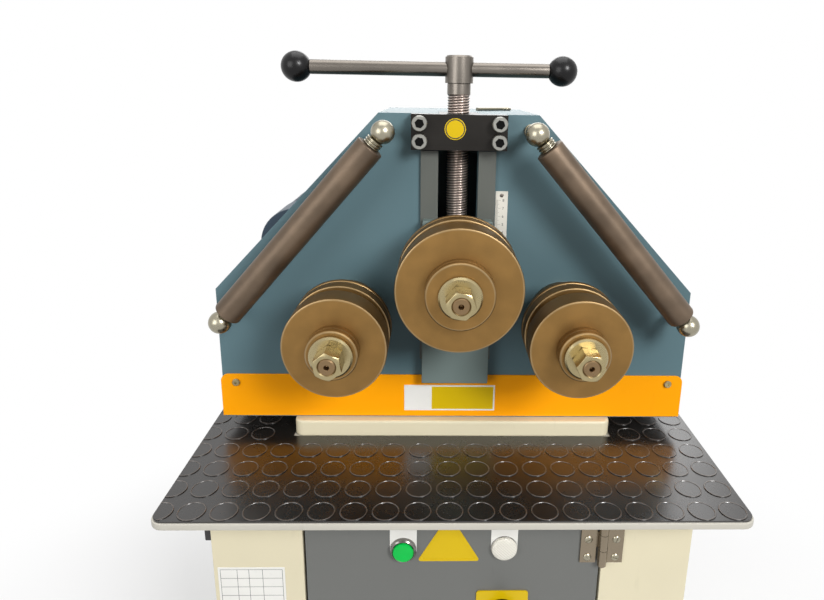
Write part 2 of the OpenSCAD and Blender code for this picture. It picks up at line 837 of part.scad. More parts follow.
module motor() color(motor_blue) at_face() {
  fins = 24;
  box_side = 270;
  bare_angle = 50;
  fin_start = 12;
  rod_y(motor_d, gearbox_y1, motor_y1, motor_x, motor_z);
  rod_y(motor_d + 2 * fin_h, motor_y1 - end_bell, motor_y1, motor_x, motor_z);
  for (i = [0 : fins - 1])
    translate([motor_x, 0, motor_z]) rotate([0, i * 360 / fins, 0])
      if (abs(i * 360 / fins - box_side) > bare_angle)
        box([-fin_t / 2, gearbox_y1 + fin_start, -motor_d / 2 - fin_h],
            [fin_t / 2, motor_y1 - end_bell, -motor_d / 2 + fin_t]);
}

module fan_cover() color(motor_blue) at_face() difference() {
  rod_y(motor_d + 2 * fin_h, motor_y1, fan_y1, motor_x, motor_z);
  vents = 12;
  rod_y(motor_d + 2 * fin_h - 2 * cowl_t, motor_y1 - eps, fan_y1 - cowl_t, motor_x, motor_z);
  for (a = [0 : 360 / vents : 359])
    rod_y(vent_d, fan_y1 - cowl_t - eps, fan_y1 + eps, motor_x + vent_r * cos(a), motor_z + vent_r * sin(a));
}

module terminal_box() color(dark_steel) at_face() difference() {
  saddle = 18;
  half = terminal_w / 2;
  y0 = gearbox_y1 + terminal_off;
  box([motor_x + motor_d / 2 - saddle, y0, motor_z - half],
      [motor_x + motor_d / 2 + terminal_h, y0 + terminal_len, motor_z + half]);
  rod_y(motor_d, gearbox_y1, motor_y1, motor_x, motor_z);
}

// Guide rollers

// Frame of one guide: Z runs from the upper ball to the lower ball
module along_guide(s)
  at_face() mirror([s > 0 ? 0 : 1, 0, 0])
    translate([ball_top_x, -guide_off, ball_top_z]) rotate([0, guide_tilt, 0]) children();

module guide_posts() color(chrome)
  for (s = [-1, 1]) {
    for (low = [false, true]) difference() {
      union() {
        along_guide(s) translate([0, 0, low ? guide_len : 0]) sphere(d = ball_d);
        at_face() {
          x = s * (low ? ball_low_x : ball_top_x);
          z = low ? ball_low_z : ball_top_z;
          rod_y(post_d, -guide_off, 0, x, z);
          rod_y(post_flange_d, -post_flange_t, 0, x, z);
          rod_y(post_spigot_d, -eps, post_spigot_len, x, z);
        }
      }
      along_guide(s) translate([0, 0, low ? guide_len - ball_cut - ball_d : ball_cut])
        cylinder(d = 2 * ball_d, h = ball_d);
      along_guide(s) translate([0, 0, low ? guide_len - ball_cut - eps : ball_cut - post_pin_depth])
        cylinder(d = axle_pin_d + 2 * fit, h = post_pin_depth + eps);
    }
  }

module guide_axles() color(steel)
  for (s = [-1, 1]) along_guide(s) {
    translate([0, 0, ball_cut - axle_pin_len])
      cylinder(d = axle_pin_d, h = guide_len - 2 * ball_cut + 2 * axle_pin_len);
    translate([0, 0, ball_cut]) cylinder(d = axle_d, h = guide_len - 2 * ball_cut);
    for (k = [0 : 2])
      translate([0, 0, ball_cut + k * (ridge_w + ridge_gap)]) cylinder(d = ridge_d, h = ridge_w);
    translate([0, 0, guide_len - ball_cut - low_neck]) cylinder(d = ridge_d, h = low_neck);
  }

module guide_roller(s) color(roller_brown) along_guide(s) translate([0, 0, roller_z0]) difference() {
  chamfer = 2;
  union() {
    cylinder(d1 = guide_d - 2 * chamfer, d2 = guide_d, h = chamfer);
    translate([0, 0, chamfer]) cylinder(d = guide_d, h = roller_len - 2 * chamfer);
    translate([0, 0, roller_len - chamfer]) cylinder(d1 = guide_d, d2 = guide_d - 2 * chamfer, h = chamfer);
  }
  translate([0, 0, -eps]) cylinder(d = axle_d + 2 * fit, h = roller_len + 2 * eps);
}

module left_guide_roller() guide_roller(-1);
module right_guide_roller() guide_roller(1);

// Ram, screw and tommy bar

module ram_plate() color(housing_blue) at_face() difference() {
  box([-ram_w / 2, ram_front, ram_foot], [ram_w / 2, ram_back, ram_foot + ram_h]);
  rod_y(shaft_d + 2 * fit, ram_front - eps, ram_back + eps, 0, upper_z);
}

module ram_block() color(dark_steel) at_face() difference() {
  union() {
    box([-block_w / 2, ram_back, block_z0], [block_w / 2, block_y1, block_z1]);
    box([-block_back_w / 2, front_t + slide, block_z0 + block_back_inset],
        [block_back_w / 2, front_t + block_back_t, block_z1 - block_back_inset]);
  }
  rod_y(shaft_d + 2 * fit, ram_back - eps, block_y1 + eps, 0, upper_z);
  translate([0, screw_y, block_z1 - collar_h]) cylinder(d = collar_d + 2 * slide, h = collar_h + eps);
}

module thrust_cap() color(steel) at_face() difference() {
  box([-block_w / 2, screw_y - collar_d / 2 - cap_lip, block_z1],
      [block_w / 2, screw_y + collar_d / 2 + cap_lip, cap_z1]);
  translate([0, screw_y, block_z1 - eps]) cylinder(d = screw_d + 2 * fit, h = cap_t + 2 * eps);
}

module spindle() color(steel) at_face() translate([0, screw_y, 0]) {
  translate([0, 0, block_z1 - collar_h + slide]) cylinder(d = collar_d, h = collar_h - 2 * slide);
  translate([0, 0, block_z1 - collar_h + slide])
    cylinder(d = screw_d, h = neck_z0 - block_z1 + collar_h - slide);
  translate([0, 0, neck_z0]) cylinder(d = screw_d + 1, h = neck_h);
  translate([0, 0, head_z0 - eps]) cylinder(d = spigot_d, h = spigot_h + eps);
}

module screw_head() color(steel) at_face() translate([0, screw_y, 0]) difference() {
  chamfer = 2;
  union() {
    translate([0, 0, head_z0]) cylinder(d = head_d, h = head_h - chamfer);
    translate([0, 0, head_z0 + head_h - chamfer])
      cylinder(d1 = head_d, d2 = head_d - 2 * chamfer, h = chamfer);
  }
  translate([0, 0, head_z0 - eps]) cylinder(d = spigot_d + 2 * fit, h = spigot_h + slide + eps);
  translate([-head_d, 0, bar_z]) rotate([0, 90, 0]) cylinder(d = bar_d + 2 * fit, h = 2 * head_d);
}

module at_bar() at_face() translate([-bar_shift, screw_y, bar_z]) children();

module tommy_bar() color(steel) at_bar() rotate([0, 90, 0]) {
  body = bar_span - 2 * ball_flat;
  translate([0, 0, -body / 2]) cylinder(d = bar_d, h = body);
  translate([0, 0, -body / 2 - tenon_len]) cylinder(d = tenon_d, h = body + 2 * tenon_len);
}

module bar_knobs() color(black) at_bar()
  for (s = [-1, 1]) translate([s * bar_span / 2, 0, 0]) rotate([0, s * 90, 0]) difference() {
    sphere(d = knob_d);
    translate([0, 0, -ball_flat - knob_d]) cylinder(d = 2 * knob_d, h = knob_d);
    translate([0, 0, -ball_flat - eps]) cylinder(d = tenon_d + 2 * fit, h = tenon_len + slide + eps);
  }

// Rolls: shaft, stacked rings, washer and nut

module roll_shaft(y1, x, z) color(steel) at_face() difference() {
  union() {
    rod_y(shaft_d, front_collar_y, y1, x, z);
    rod_y(stud_end_d, shaft_y0, front_collar_y + eps, x, z);
  }
  rod_y(stud_end_d / 3, shaft_y0 - eps, shaft_y0 + centre_depth, x, z);
}

module roll_rings(d, collar, back, x, z) color(oxide) at_face() {
  bore = shaft_d + 2 * fit;
  disc_line_y = rear_disc_y + disc_rear_w * disc_line_share;
  collar_y = front_collar_y + collar_line_y;
  difference() {
    ring_y(collar, bore, front_collar_y, -roll_front - seat, x, z);
    ring_y(collar + eps, collar - 2 * collar_line_depth, collar_y, collar_y + collar_line_w, x, z);
  }
  ring_y(d, bore, -roll_front, groove_y - seat, x, z);
  ring_y(d - 2 * groove_cut, bore, groove_y, rear_disc_y - seat, x, z);
  difference() {
    ring_y(d, bore, rear_disc_y, spacer_y - seat, x, z);
    ring_y(d + eps, d - 2 * disc_line_depth, disc_line_y, disc_line_y + disc_line_w, x, z);
  }
  ring_y(spacer_d, bore, spacer_y, back - slide, x, z);
}

module roll_nut(x, z, turn) color(zinc) at_face() {
  bore = stud_end_d + 2 * fit;
  ring_y(washer_d, bore, washer_y, front_collar_y - seat, x, z);
  difference() {
    hex_y(nut_af, nut_y, washer_y - seat, x, z, turn);
    rod_y(bore, nut_y - eps, washer_y + eps, x, z);
  }
}

upper_shaft_y1 = block_y1 + slide + keeper_w;
lower_shaft_y1 = house_d + flange_t + 4;
module upper_shaft() roll_shaft(upper_shaft_y1, 0, upper_z);
module upper_rings() {
  roll_rings(upper_d, upper_collar_d, ram_front, 0, upper_z);
  color(steel) at_face()
    ring_y(upper_keeper_d, shaft_d + 2 * fit, block_y1 + slide, upper_shaft_y1, 0, upper_z);
}
module upper_nut() roll_nut(0, upper_z, 10);

module left_shaft() roll_shaft(lower_shaft_y1, -lower_x, lower_z);
module left_rings() roll_rings(lower_d, lower_collar_d, -flange_t, -lower_x, lower_z);
module left_nut() roll_nut(-lower_x, lower_z, 22);
module left_gear() color(steel) at_face()
  gear_y(lower_teeth, 0, shaft_d + 2 * fit, gear_y0, gear_y0 + gear_w, -lower_x, lower_z);

module right_shaft() roll_shaft(lower_shaft_y1, lower_x, lower_z);
module right_rings() roll_rings(lower_d, lower_collar_d, -flange_t, lower_x, lower_z);
module right_nut() roll_nut(lower_x, lower_z, 5);
module right_gear() color(steel) at_face()
  gear_y(lower_teeth, right_turn, shaft_d + 2 * fit, gear_y0, gear_y0 + gear_w, lower_x, lower_z);

module idler_gear() color(steel) at_face()
  gear_y(idler_teeth, idler_turn, stub_d + 2 * fit, gear_y0, gear_y0 + gear_w, 0, lower_z);

module motor_pinion() color(steel) at_face() {
  translate([motor_x, 0, motor_z]) prism_y(gear_y0 - pinion_extra, gear_y0 + gear_w + pinion_extra)
    polygon(tooth_points(pinion_teeth, pinion_turn));
  rod_y(stub_d, gear_y0 - pinion_tail, house_d + shaft_in_box - pinion_extra, motor_x, motor_z);
}

// Small pieces on the frame

module split_pin() color(steel) {
  wire = 4;
  leg = 44;
  eye = 12;
  leg_off = 1.3;
  lap = 1;
  pin_x = 28;
  pin_y = 112;
  turn = 33;
  at_face() translate([pin_x, pin_y, house_z1 + wire / 2]) rotate([0, 0, turn]) {
    for (s = [-1, 1]) translate([0, s * leg_off, 0]) rotate([0, 90, 0]) cylinder(d = wire, h = leg);
    translate([leg + eye / 2 - lap, 0, 0]) rotate_extrude() translate([eye / 2, 0]) circle(d = wire);
  }
}

module control_gear() {
  z0 = floor_t + board_rise;
  y1 = cab_back - cab_sheet;
  y0 = y1 - board_t - seat;
  row_share = 0.6;
  foot_share = 0.13;
  side_share = 0.4;
  gap_share = 0.1;
  row_z = z0 + board_w * row_share;
  foot_z = z0 + board_w * foot_share;
  left_x = -board_w * side_share;
  relay_x = left_x + contactor_w + board_w * gap_share;
  color(zinc) box([-board_w / 2, y1 - board_t, z0], [board_w / 2, y1, z0 + board_w]);
  color(door_grey) box([left_x, y0 - contactor_d, row_z], [left_x + contactor_w, y0, row_z + relay_h]);
  color(door_grey) box([relay_x, y0 - relay_d, row_z], [relay_x + relay_w, y0, row_z + relay_h]);
  color(dark_steel)
    box([left_x, y0 - transformer_d, foot_z], [left_x + transformer_w, y0, foot_z + transformer_h]);
}

module side_socket() color(dark_steel) {
  socket_drop = 51;
  socket_h = 23;
  socket_t = 9;
  socket_inset = 5;
  socket_w = 30;
  z1 = cab_h - socket_drop;
  y0 = cab_front + socket_inset;
  box([-cab_w / 2 - socket_t, y0, z1 - socket_h], [-cab_w / 2, y0 + socket_w, z1]);
}

module hinge_fixed_leaves() color(chrome) at_door()
  for (z0 = hinge_zs) translate([0, 0, z0]) {
    box([hinge_x + hinge_knuckle_d / 2 + hinge_side_gap, -hinge_leaf_t, 0],
        [hinge_x + hinge_leaf_w, 0, hinge_h]);
    for (k = [0, 2]) {
      z = k * knuckle_h;
      box([hinge_x, -hinge_leaf_t, z], [hinge_x + hinge_knuckle_d / 2 + hinge_lap, 0, z + knuckle_h]);
      translate([hinge_x, hinge_y, z]) cylinder(d = hinge_knuckle_d, h = knuckle_h);
    }
    translate([hinge_x, hinge_y, -hinge_pin_proud])
      cylinder(d = hinge_pin_d, h = hinge_h + 2 * hinge_pin_proud);
    for (k = hinge_screw_rows)
      rod_y(hinge_head_d, -hinge_leaf_t - hinge_head_h, -hinge_leaf_t + eps,
            hinge_x + hinge_screw_share * hinge_leaf_w, k * hinge_h);
  }

// Door and what it carries

module hinge_door_leaves() color(chrome) at_door()
  for (z0 = hinge_zs) translate([0, 0, z0]) difference() {
    z = knuckle_h + slide;
    h = knuckle_h - 2 * slide;
    union() {
      box([hinge_x - hinge_leaf_w, -hinge_leaf_t, 0],
          [hinge_x - hinge_knuckle_d / 2 - hinge_side_gap, 0, hinge_h]);
      box([hinge_x - hinge_knuckle_d / 2 - hinge_lap, -hinge_leaf_t, z], [hinge_x, 0, z + h]);
      translate([hinge_x, hinge_y, z]) cylinder(d = hinge_knuckle_d, h = h);
      for (k = hinge_screw_rows)
        rod_y(hinge_head_d, -hinge_leaf_t - hinge_head_h, -hinge_leaf_t + eps,
              hinge_x - hinge_screw_share * hinge_leaf_w, k * hinge_h);
    }
    translate([hinge_x, hinge_y, -eps]) cylinder(d = hinge_pin_d + 2 * fit, h = hinge_h + 2 * eps);
  }

module door_panel() color(door_grey) at_door() difference() {
  box([-door_x, 0, door_z0], [door_x, door_depth, door_z1]);
  box([-door_x + door_sheet, door_sheet, door_z0 + door_sheet],
      [door_x - door_sheet, door_depth + eps, door_z1 - door_sheet]);
  for (s = [-1, 1])
    rod_y(barrel_d + 2 * fit, -eps, door_sheet + eps, s * control_x, s > 0 ? lamp_z : control_z);
  rod_y(switch_shaft_d + 2 * fit, -eps, door_sheet + eps, control_x, switch_z);
  rod_y(latch_shaft_d + 2 * fit, -eps, door_sheet + eps, latch_x, latch_z);
}

module door_plates() at_door() {
  sign_drop = 18;
  sign_x = -6;
  legend_top = control_z + legend_rise;
  sign_z = control_z - sign_drop;
  for (s = [-1, 1]) color(door_grey) difference() {
    z = s > 0 ? lamp_z : control_z;
    union() {
      box([s * control_x - legend_w / 2, -plate_t, z], [s * control_x + legend_w / 2, 0, legend_top]);
      rod_y(legend_w, -plate_t, 0, s * control_x, z);
    }
    rod_y(barrel_d + 2 * fit, -plate_t - eps, eps, s * control_x, z);
  }
  color(yellow) prism_y(-plate_t, 0)
    polygon([[sign_x - sign_w / 2, sign_z], [sign_x + sign_w / 2, sign_z],
             [sign_x, sign_z + sign_w * sin(60)]]);
}

barrel_floor = 9;
stem_gap = 3;
recess_floor = 1;
lamp_ring_h = 1.5;
button_back = -plate_t - recess_floor - button_stroke - slide;
button_t = 3;
module control_bezels() color(chrome) at_door()
  for (s = [-1, 1]) difference() {
    z = s > 0 ? lamp_z : control_z;
    ring_h = s > 0 ? lamp_ring_h : bezel_h;
    union() {
      rod_y(bezel_d, -plate_t - ring_h, -plate_t, s * control_x, z);
      rod_y(barrel_d, -plate_t - recess_floor, barrel_len, s * control_x, z);
    }
    rod_y(cap_d + 2 * fit, -plate_t - ring_h - eps, barrel_len - barrel_floor, s * control_x, z);
    if (s < 0)
      rod_y(button_d + 2 * slide, -plate_t - bezel_h - eps, -plate_t - recess_floor, -control_x, z);
  }

module button_cap() color("green") at_door() {
  rod_y(button_d, button_back - button_t, button_back, -control_x, control_z);
  stem_end = barrel_len - barrel_floor - button_stroke - stem_gap;
  rod_y(cap_d, button_back - eps, stem_end, -control_x, control_z);
}

module pilot_lens() color(white) at_door() {
  y1 = -plate_t - lamp_ring_h;
  ribs = 24;
  rib_d = 2;
  rod_y(lens_d, y1 - lens_h, y1, control_x, lamp_z);
  rod_y(cap_d, y1 - eps, barrel_len - barrel_floor - stem_gap, control_x, lamp_z);
  for (a = [0 : 360 / ribs : 359])
    rod_y(rib_d, y1 - lens_h + rib_d, y1, control_x + lens_d / 2 * cos(a), lamp_z + lens_d / 2 * sin(a));
}

switch_plate_t = 2;
module switch_plate() color(yellow) at_door() difference() {
  prism_y(-switch_plate_t, 0) translate([control_x, switch_z]) rounded(switch_w, switch_w, 4);
  rod_y(switch_shaft_d + 2 * fit, -switch_plate_t - eps, eps, control_x, switch_z);
}

module switch_knob() color(black) at_door() {
  dial_t = 8;
  grip_w = 12;
  grip_h = 26;
  y1 = -switch_plate_t - slide;
  rod_y(switch_knob_d, y1 - dial_t, y1, control_x, switch_z);
  box([control_x - grip_w / 2, y1 - grip_h, switch_z - switch_knob_d / 2],
      [control_x + grip_w / 2, y1 - dial_t + eps, switch_z + switch_knob_d / 2]);
  rod_y(switch_shaft_d, y1 - eps, door_depth, control_x, switch_z);
}

module door_latch() color(dark_steel) at_door() {
  cam_y = flange_depth + latch_gap;
  rod_y(latch_d, -latch_knob_h, -slide, latch_x, latch_z);
  rod_y(latch_shaft_d, -eps, cam_y + cam_t, latch_x, latch_z);
  box([latch_x - cam_w / 2, cam_y, latch_z - latch_reach],
      [latch_x + cam_w / 2, cam_y + cam_t, latch_z + cam_w / 2]);
}

cabinet_shell();
floor_plate();
platform_plate();
rubber_mat();
pedestal_plate();
front_plate();
back_plate();
housing_skin();
front_guard();
guard_screws();
stickers();
slide_strips();
nut_block();
nut_block_screws();
scale_plate();
shaft_bearings();
idler_stud();
gearbox();
motor();
fan_cover();
terminal_box();
guide_posts();
guide_axles();
hinge_fixed_leaves();
split_pin();
control_gear();
side_socket();
ram_plate();
ram_block();
thrust_cap();
spindle();
screw_head();
tommy_bar();
bar_knobs();
upper_shaft();
upper_rings();
upper_nut();
left_shaft();
left_rings();
left_nut();
left_gear();
right_shaft();
right_rings();
right_nut();
right_gear();
idler_gear();
motor_pinion();
left_guide_roller();
right_guide_roller();
door_panel();
hinge_door_leaves();
door_plates();
control_bezels();
pilot_lens();
switch_plate();
button_cap();
switch_knob();
door_latch();
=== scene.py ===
"""Looks of the angle roll bender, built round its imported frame.

Laid out as a Blender add-on and run as a script. Helpers take millimetres in the part's
frame: +X is the operator's right, +Y runs to the back and +Z is up.
"""

import math

import bmesh
import bpy
from bpy.props import FloatProperty, FloatVectorProperty, IntProperty, PointerProperty
from mathutils import Matrix, Vector


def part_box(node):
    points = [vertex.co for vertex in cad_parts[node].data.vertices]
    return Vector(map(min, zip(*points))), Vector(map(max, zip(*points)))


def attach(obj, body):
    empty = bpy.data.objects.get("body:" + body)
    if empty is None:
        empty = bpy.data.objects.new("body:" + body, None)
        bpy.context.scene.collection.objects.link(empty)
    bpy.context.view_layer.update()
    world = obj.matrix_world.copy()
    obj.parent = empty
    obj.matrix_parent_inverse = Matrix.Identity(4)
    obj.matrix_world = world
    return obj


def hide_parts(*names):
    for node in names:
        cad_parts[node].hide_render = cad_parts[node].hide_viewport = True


bl_info = {
    "name": "Angle Roll Bender Looks",
    "version": (1, 0, 0),
    "blender": (4, 5, 0),
    "location": "View3D > Sidebar > Bender",
    "description": "Builds the visible pieces of an angle roll bender round its packed frame",
    "category": "Object",
}

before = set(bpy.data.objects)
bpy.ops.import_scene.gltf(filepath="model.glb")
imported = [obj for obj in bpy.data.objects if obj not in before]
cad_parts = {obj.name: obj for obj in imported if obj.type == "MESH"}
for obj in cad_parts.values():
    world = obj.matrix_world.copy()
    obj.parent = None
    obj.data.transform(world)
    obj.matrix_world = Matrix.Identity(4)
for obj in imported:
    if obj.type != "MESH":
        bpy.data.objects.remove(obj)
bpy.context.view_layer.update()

MM = 0.001
MERGE = 1e-5

X = Vector((1, 0, 0))
Y = Vector((0, 1, 0))
Z = Vector((0, 0, 1))

# Grid of the mat's studs, in millimetres
STUD_PITCH, STUD_ROW, STUD_SIZE = 34.6, 38, 30
STUD_SHIFT, STUD_MARGIN = -7.5, 0.5

# Planes that the drawing starts from
FACE_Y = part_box("front_plate")[0].y / MM
MAT_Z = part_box("rubber_mat")[1].z / MM
DOOR_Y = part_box("cabinet_shell")[0].y / MM


def linear(red, green, blue):
    """Linear colour of three screen values from 0 to 255."""
    shares = [value / 255 for value in (red, green, blue)]
    return tuple(s / 12.92 if s <= 0.04045 else ((s + 0.055) / 1.055) ** 2.4 for s in shares)


def tint(label, text, red, green, blue):
    """A colour that the user can change."""
    return FloatVectorProperty(name=label, description=text, subtype="COLOR", size=3,
                               min=0, max=1, default=linear(red, green, blue))


def length(label, text, size):
    """A length that the user can change, written in millimetres."""
    return FloatProperty(name=label, description=text, subtype="DISTANCE", unit="LENGTH",
                         min=0, default=size * MM)


class BenderColours(bpy.types.PropertyGroup):
    """Colours of the finishes."""

    housing: tint("Housing", "Enamel of the housing", 88, 114, 121)
    ram: tint("Sliding plate", "Greyer enamel of the sliding plate", 108, 122, 119)
    guard: tint("Guard", "Enamel of the guard strip", 255, 164, 0)
    cabinet: tint("Cabinet", "Powder coat of cabinet and pedestal", 218, 209, 180)
    platform: tint("Platform", "Powder coat of the platform", 192, 188, 177)
    door: tint("Door", "Powder coat of the door", 102, 103, 100)
    motor: tint("Motor", "Enamel of the motor drive", 44, 62, 78)
    floor_plate: tint("Anchor plate", "Paint of the anchor plate", 58, 58, 60)
    rubber: tint("Rubber", "Coin-stud mat", 24, 20, 17)
    bronze: tint("Roll oxide", "Brown oxide of the roll discs", 134, 102, 56)
    # Bare worn metal at the discs' edges, lightened also as a painted highlight
    rim: tint("Roll rim", "Bare metal on the rims of the discs", 168, 148, 114)
    roller: tint("Guide roller", "Brown oxide of the guide rollers", 104, 88, 72)
    steel: tint("Steel", "Machined steel", 118, 112, 105)
    shaft: tint("Shaft", "Oil-browned ends of the roll shafts", 138, 114, 84)
    strip: tint("Strip", "Painted slide strips", 92, 95, 90)
    screw: tint("Cap screw", "Bare cap screws of the nut block", 152, 151, 145)
    hinge: tint("Hinge", "Steel hinges of the door", 142, 130, 112)
    ring: tint("Control ring", "Darkened rings of the button and the lamp", 128, 126, 122)
    scale: tint("Scale", "Satin face of the scale", 222, 219, 208)
    thread: tint("Thread", "Oiled thread of the adjusting screw", 214, 198, 188)
    block: tint("Block", "Blackened steel of the nut block", 46, 44, 42)
    chrome: tint("Chrome", "Plated balls and posts", 160, 154, 136)
    zinc: tint("Zinc", "Yellow zinc of the nuts and washers", 172, 158, 120)
    knob: tint("Knob", "Black moulded knobs", 12, 11, 12)
    yellow: tint("Yellow", "Yellow plates", 212, 179, 2)
    paper: tint("Plate", "White plates and labels", 232, 231, 226)
    green: tint("Button", "Green push button", 0, 186, 72)
    lens: tint("Lens", "White lamp lens", 238, 234, 222)
    ink: tint("Ink", "Printed lines and figures", 34, 33, 33)
    # Painted shade: near-black colour of the plugs that stand in for the shade deep in the screw sockets
    socket: tint("Socket", "Oily floor of the screw sockets", 6, 6, 6)


class BenderSizes(bpy.types.PropertyGroup):
    """Sizes that only the looks need."""

    sheet_edge: length("Sheet edge", "Bend radius on sheet metal", 1.6)
    plate_edge: length("Plate edge", "Rounding on thick painted plates", 1.4)
    cut_edge: length("Cut edge", "Broken edge on machined steel", 0.6)
    disc_edge: length("Disc edge", "Rounding on the rims of the discs", 2.2)
    stud_pitch: length("Stud pitch", "Distance between the columns of studs", STUD_PITCH)
    stud_row: length("Stud rows", "Distance between the rows of studs", STUD_ROW)
    stud_size: length("Stud size", "Diameter of a coin stud", STUD_SIZE)
    stud_rim: length("Stud rim", "Width of the raised rim of a coin stud", 1.6)
    stud_sunk: length("Stud middle", "Depth of a stud's middle below its rim", 0.45)
    thread_pitch: length("Thread pitch", "Distance between the thread's ridges", 3.2)
    thread_depth: length("Thread depth", "Depth of the thread's grooves", 1.3)
    thread_starts: IntProperty(name="Thread starts", description="Starts of the thread", min=1, default=2)


def colours():
    return bpy.context.scene.bender_colours


def size(name):
    """One of the user's lengths, in millimetres."""
    return getattr(bpy.context.scene.bender_sizes, name) / MM


# Mesh helpers

RING_STEPS = 96
ROUND_SHARE = 0.3
PARALLEL = 0.99
SHARP = math.radians(33)
FLAT = math.radians(0.6)
SMOOTH = math.radians(38)
THREAD_STEPS, THREAD_SIDES = 6, 48
SOCKET_TURN = 12


def rest():
    """Leaves edit mode and deselects everything."""
    if bpy.context.mode != "OBJECT":
        bpy.ops.object.mode_set(mode="OBJECT")
    bpy.ops.object.select_all(action="DESELECT")


def pick(obj):
    """Makes one object the only selected one."""
    rest()
    obj.select_set(True)
    bpy.context.view_layer.objects.active = obj


def edit(obj, kind="VERT"):
    """Opens one object in edit mode with nothing selected."""
    pick(obj)
    bpy.ops.object.mode_set(mode="EDIT")
    bpy.ops.mesh.select_mode(type=kind)
    bpy.ops.mesh.select_all(action="DESELECT")


def fix_place(obj):
    """Moves an object's place, turn and scale into its mesh."""
    pick(obj)
    bpy.ops.object.transform_apply(location=True, rotation=True, scale=True)
    return obj


def close_up(obj):
    """Merges doubles and points the faces outwards."""
    edit(obj)
    bpy.ops.mesh.select_all(action="SELECT")
    bpy.ops.mesh.remove_doubles(threshold=MERGE)
    bpy.ops.mesh.normals_make_consistent(inside=False)
    rest()
    return obj


def bevelled(obj, edge, segments=2, along=None):
    """Rounds every edge, or only the edges that run along a direction."""
    edit(obj, "EDGE")
    if along is None:
        bpy.ops.mesh.select_all(action="SELECT")
    else:
        shape = bmesh.from_edit_mesh(obj.data)
        for line in shape.edges:
            run = (line.verts[0].co - line.verts[1].co).normalized()
            if abs(run.dot(along)) > PARALLEL:
                line.select_set(True)
        bmesh.update_edit_mesh(obj.data)
    bpy.ops.mesh.bevel(offset=edge * MM, segments=segments, affect="EDGES")
    rest()
    return obj


def chain(points):
    """An open line of edges, left in edit mode with its last vertex selected."""
    rest()
    bpy.ops.mesh.primitive_plane_add(size=MM)
    obj = bpy.context.object
    bpy.ops.object.mode_set(mode="EDIT")
    bpy.ops.mesh.select_mode(type="VERT")
    bpy.ops.mesh.select_all(action="SELECT")
    bpy.ops.mesh.merge(type="CENTER")
    bpy.ops.transform.translate(value=points[0])
    for here, there in zip(points, points[1:]):
        bpy.ops.mesh.extrude_region_move(TRANSFORM_OT_translate={"value": there - here})
    return obj


def turned(outline, centre, along=Y, out=X, steps=RING_STEPS):
    """Turns an outline of (place along the axis, radius) pairs about the axis through centre."""
    centre = Vector(centre)
    obj = chain([(centre + along * place + out * radius) * MM for place, radius in outline])
    bpy.ops.mesh.select_all(action="SELECT")
    bpy.ops.mesh.spin(steps=steps, angle=math.tau, center=centre * MM, axis=along)
    return close_up(obj)


def ring(start, end, bore, radius, edge):
    """Outline of a ring whose two rims are rounded."""
    inner = edge * ROUND_SHARE
    return [(start, bore), (start, radius - edge), (start + inner, radius - inner), (start + edge, radius),
            (end - edge, radius), (end - inner, radius - inner), (end, radius - edge), (end, bore),
            (start, bore)]


def rod(start, end, radius, edge):
    """Outline of a solid bar whose two ends are rounded."""
    return ring(start, end, 0, radius, edge)[:-1]


def block(low, high, edge=0, segments=2):
    """A box between two corners, its edges rounded unless edge is 0."""
    low, high = Vector(low), Vector(high)
    rest()
    bpy.ops.mesh.primitive_cube_add(size=1, location=(low + high) / 2 * MM, scale=(high - low) * MM)
    obj = fix_place(bpy.context.object)
    return bevelled(obj, edge, segments) if edge else obj


def prism(points, along, depth):
    """A flat outline pushed out along a direction."""
    corners = [Vector(point) * MM for point in points]
    obj = chain([*corners, corners[0]])
    bpy.ops.mesh.select_all(action="SELECT")
    bpy.ops.mesh.remove_doubles(threshold=MERGE)
    bpy.ops.mesh.edge_face_add()
    bpy.ops.mesh.extrude_region_move(TRANSFORM_OT_translate={"value": along * depth * MM})
    return close_up(obj)


def softened(node, edge, segments=2):
    """A merged copy of a CAD node with its sharp edges rounded."""
    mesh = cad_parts[node].data.copy()
    mesh.materials.clear()
    obj = bpy.data.objects.new(node + "_soft", mesh)
    bpy.context.scene.collection.objects.link(obj)
    pick(obj)
    bpy.ops.mesh.customdata_custom_splitnormals_clear()
    edit(obj)
    bpy.ops.mesh.select_all(action="SELECT")
    bpy.ops.mesh.remove_doubles(threshold=MERGE)
    bpy.ops.mesh.dissolve_limited(angle_limit=FLAT)
    rest()
    if edge:
        pick(obj)
        bevel = obj.modifiers.new("rounding", "BEVEL")
        bevel.width = edge * MM
        bevel.segments = segments
        bevel.limit_method = "ANGLE"
        bevel.angle_limit = SHARP
        bpy.ops.object.modifier_apply(modifier=bevel.name)
    return obj


def carve(obj, tool, operation="DIFFERENCE"):
    """Cuts or trims one solid with another, and removes the tool."""
    pick(obj)
    cut = obj.modifiers.new("carving", "BOOLEAN")
    cut.operation = operation
    cut.solver = "EXACT"
    cut.object = tool
    bpy.ops.object.modifier_apply(modifier=cut.name)
    bpy.data.objects.remove(tool)
    return obj


def copied(obj, offset):
    """A copy with its own mesh, moved by an offset."""
    twin = obj.copy()
    twin.data = obj.data.copy()
    twin.data.transform(Matrix.Translation(Vector(offset) * MM))
    bpy.context.scene.collection.objects.link(twin)
    return twin


def joined(parts):
    """Joins several meshes into the first of them."""
    rest()
    for part in parts:
        part.select_set(True)
    bpy.context.view_layer.objects.active = parts[0]
    bpy.ops.object.join()
    return parts[0]


def hexagon(flats, start, end, x, z, turn):
    """A plain hexagon bar along Y, its turn in degrees."""
    rest()
    half_corner = 30
    bpy.ops.mesh.primitive_cylinder_add(vertices=6, radius=flats / math.sqrt(3) * MM,
                                        depth=(end - start) * MM,
                                        location=Vector((x, (start + end) / 2, z)) * MM,
                                        rotation=(math.pi / 2, math.radians(turn + half_corner), 0))
    return fix_place(bpy.context.object)


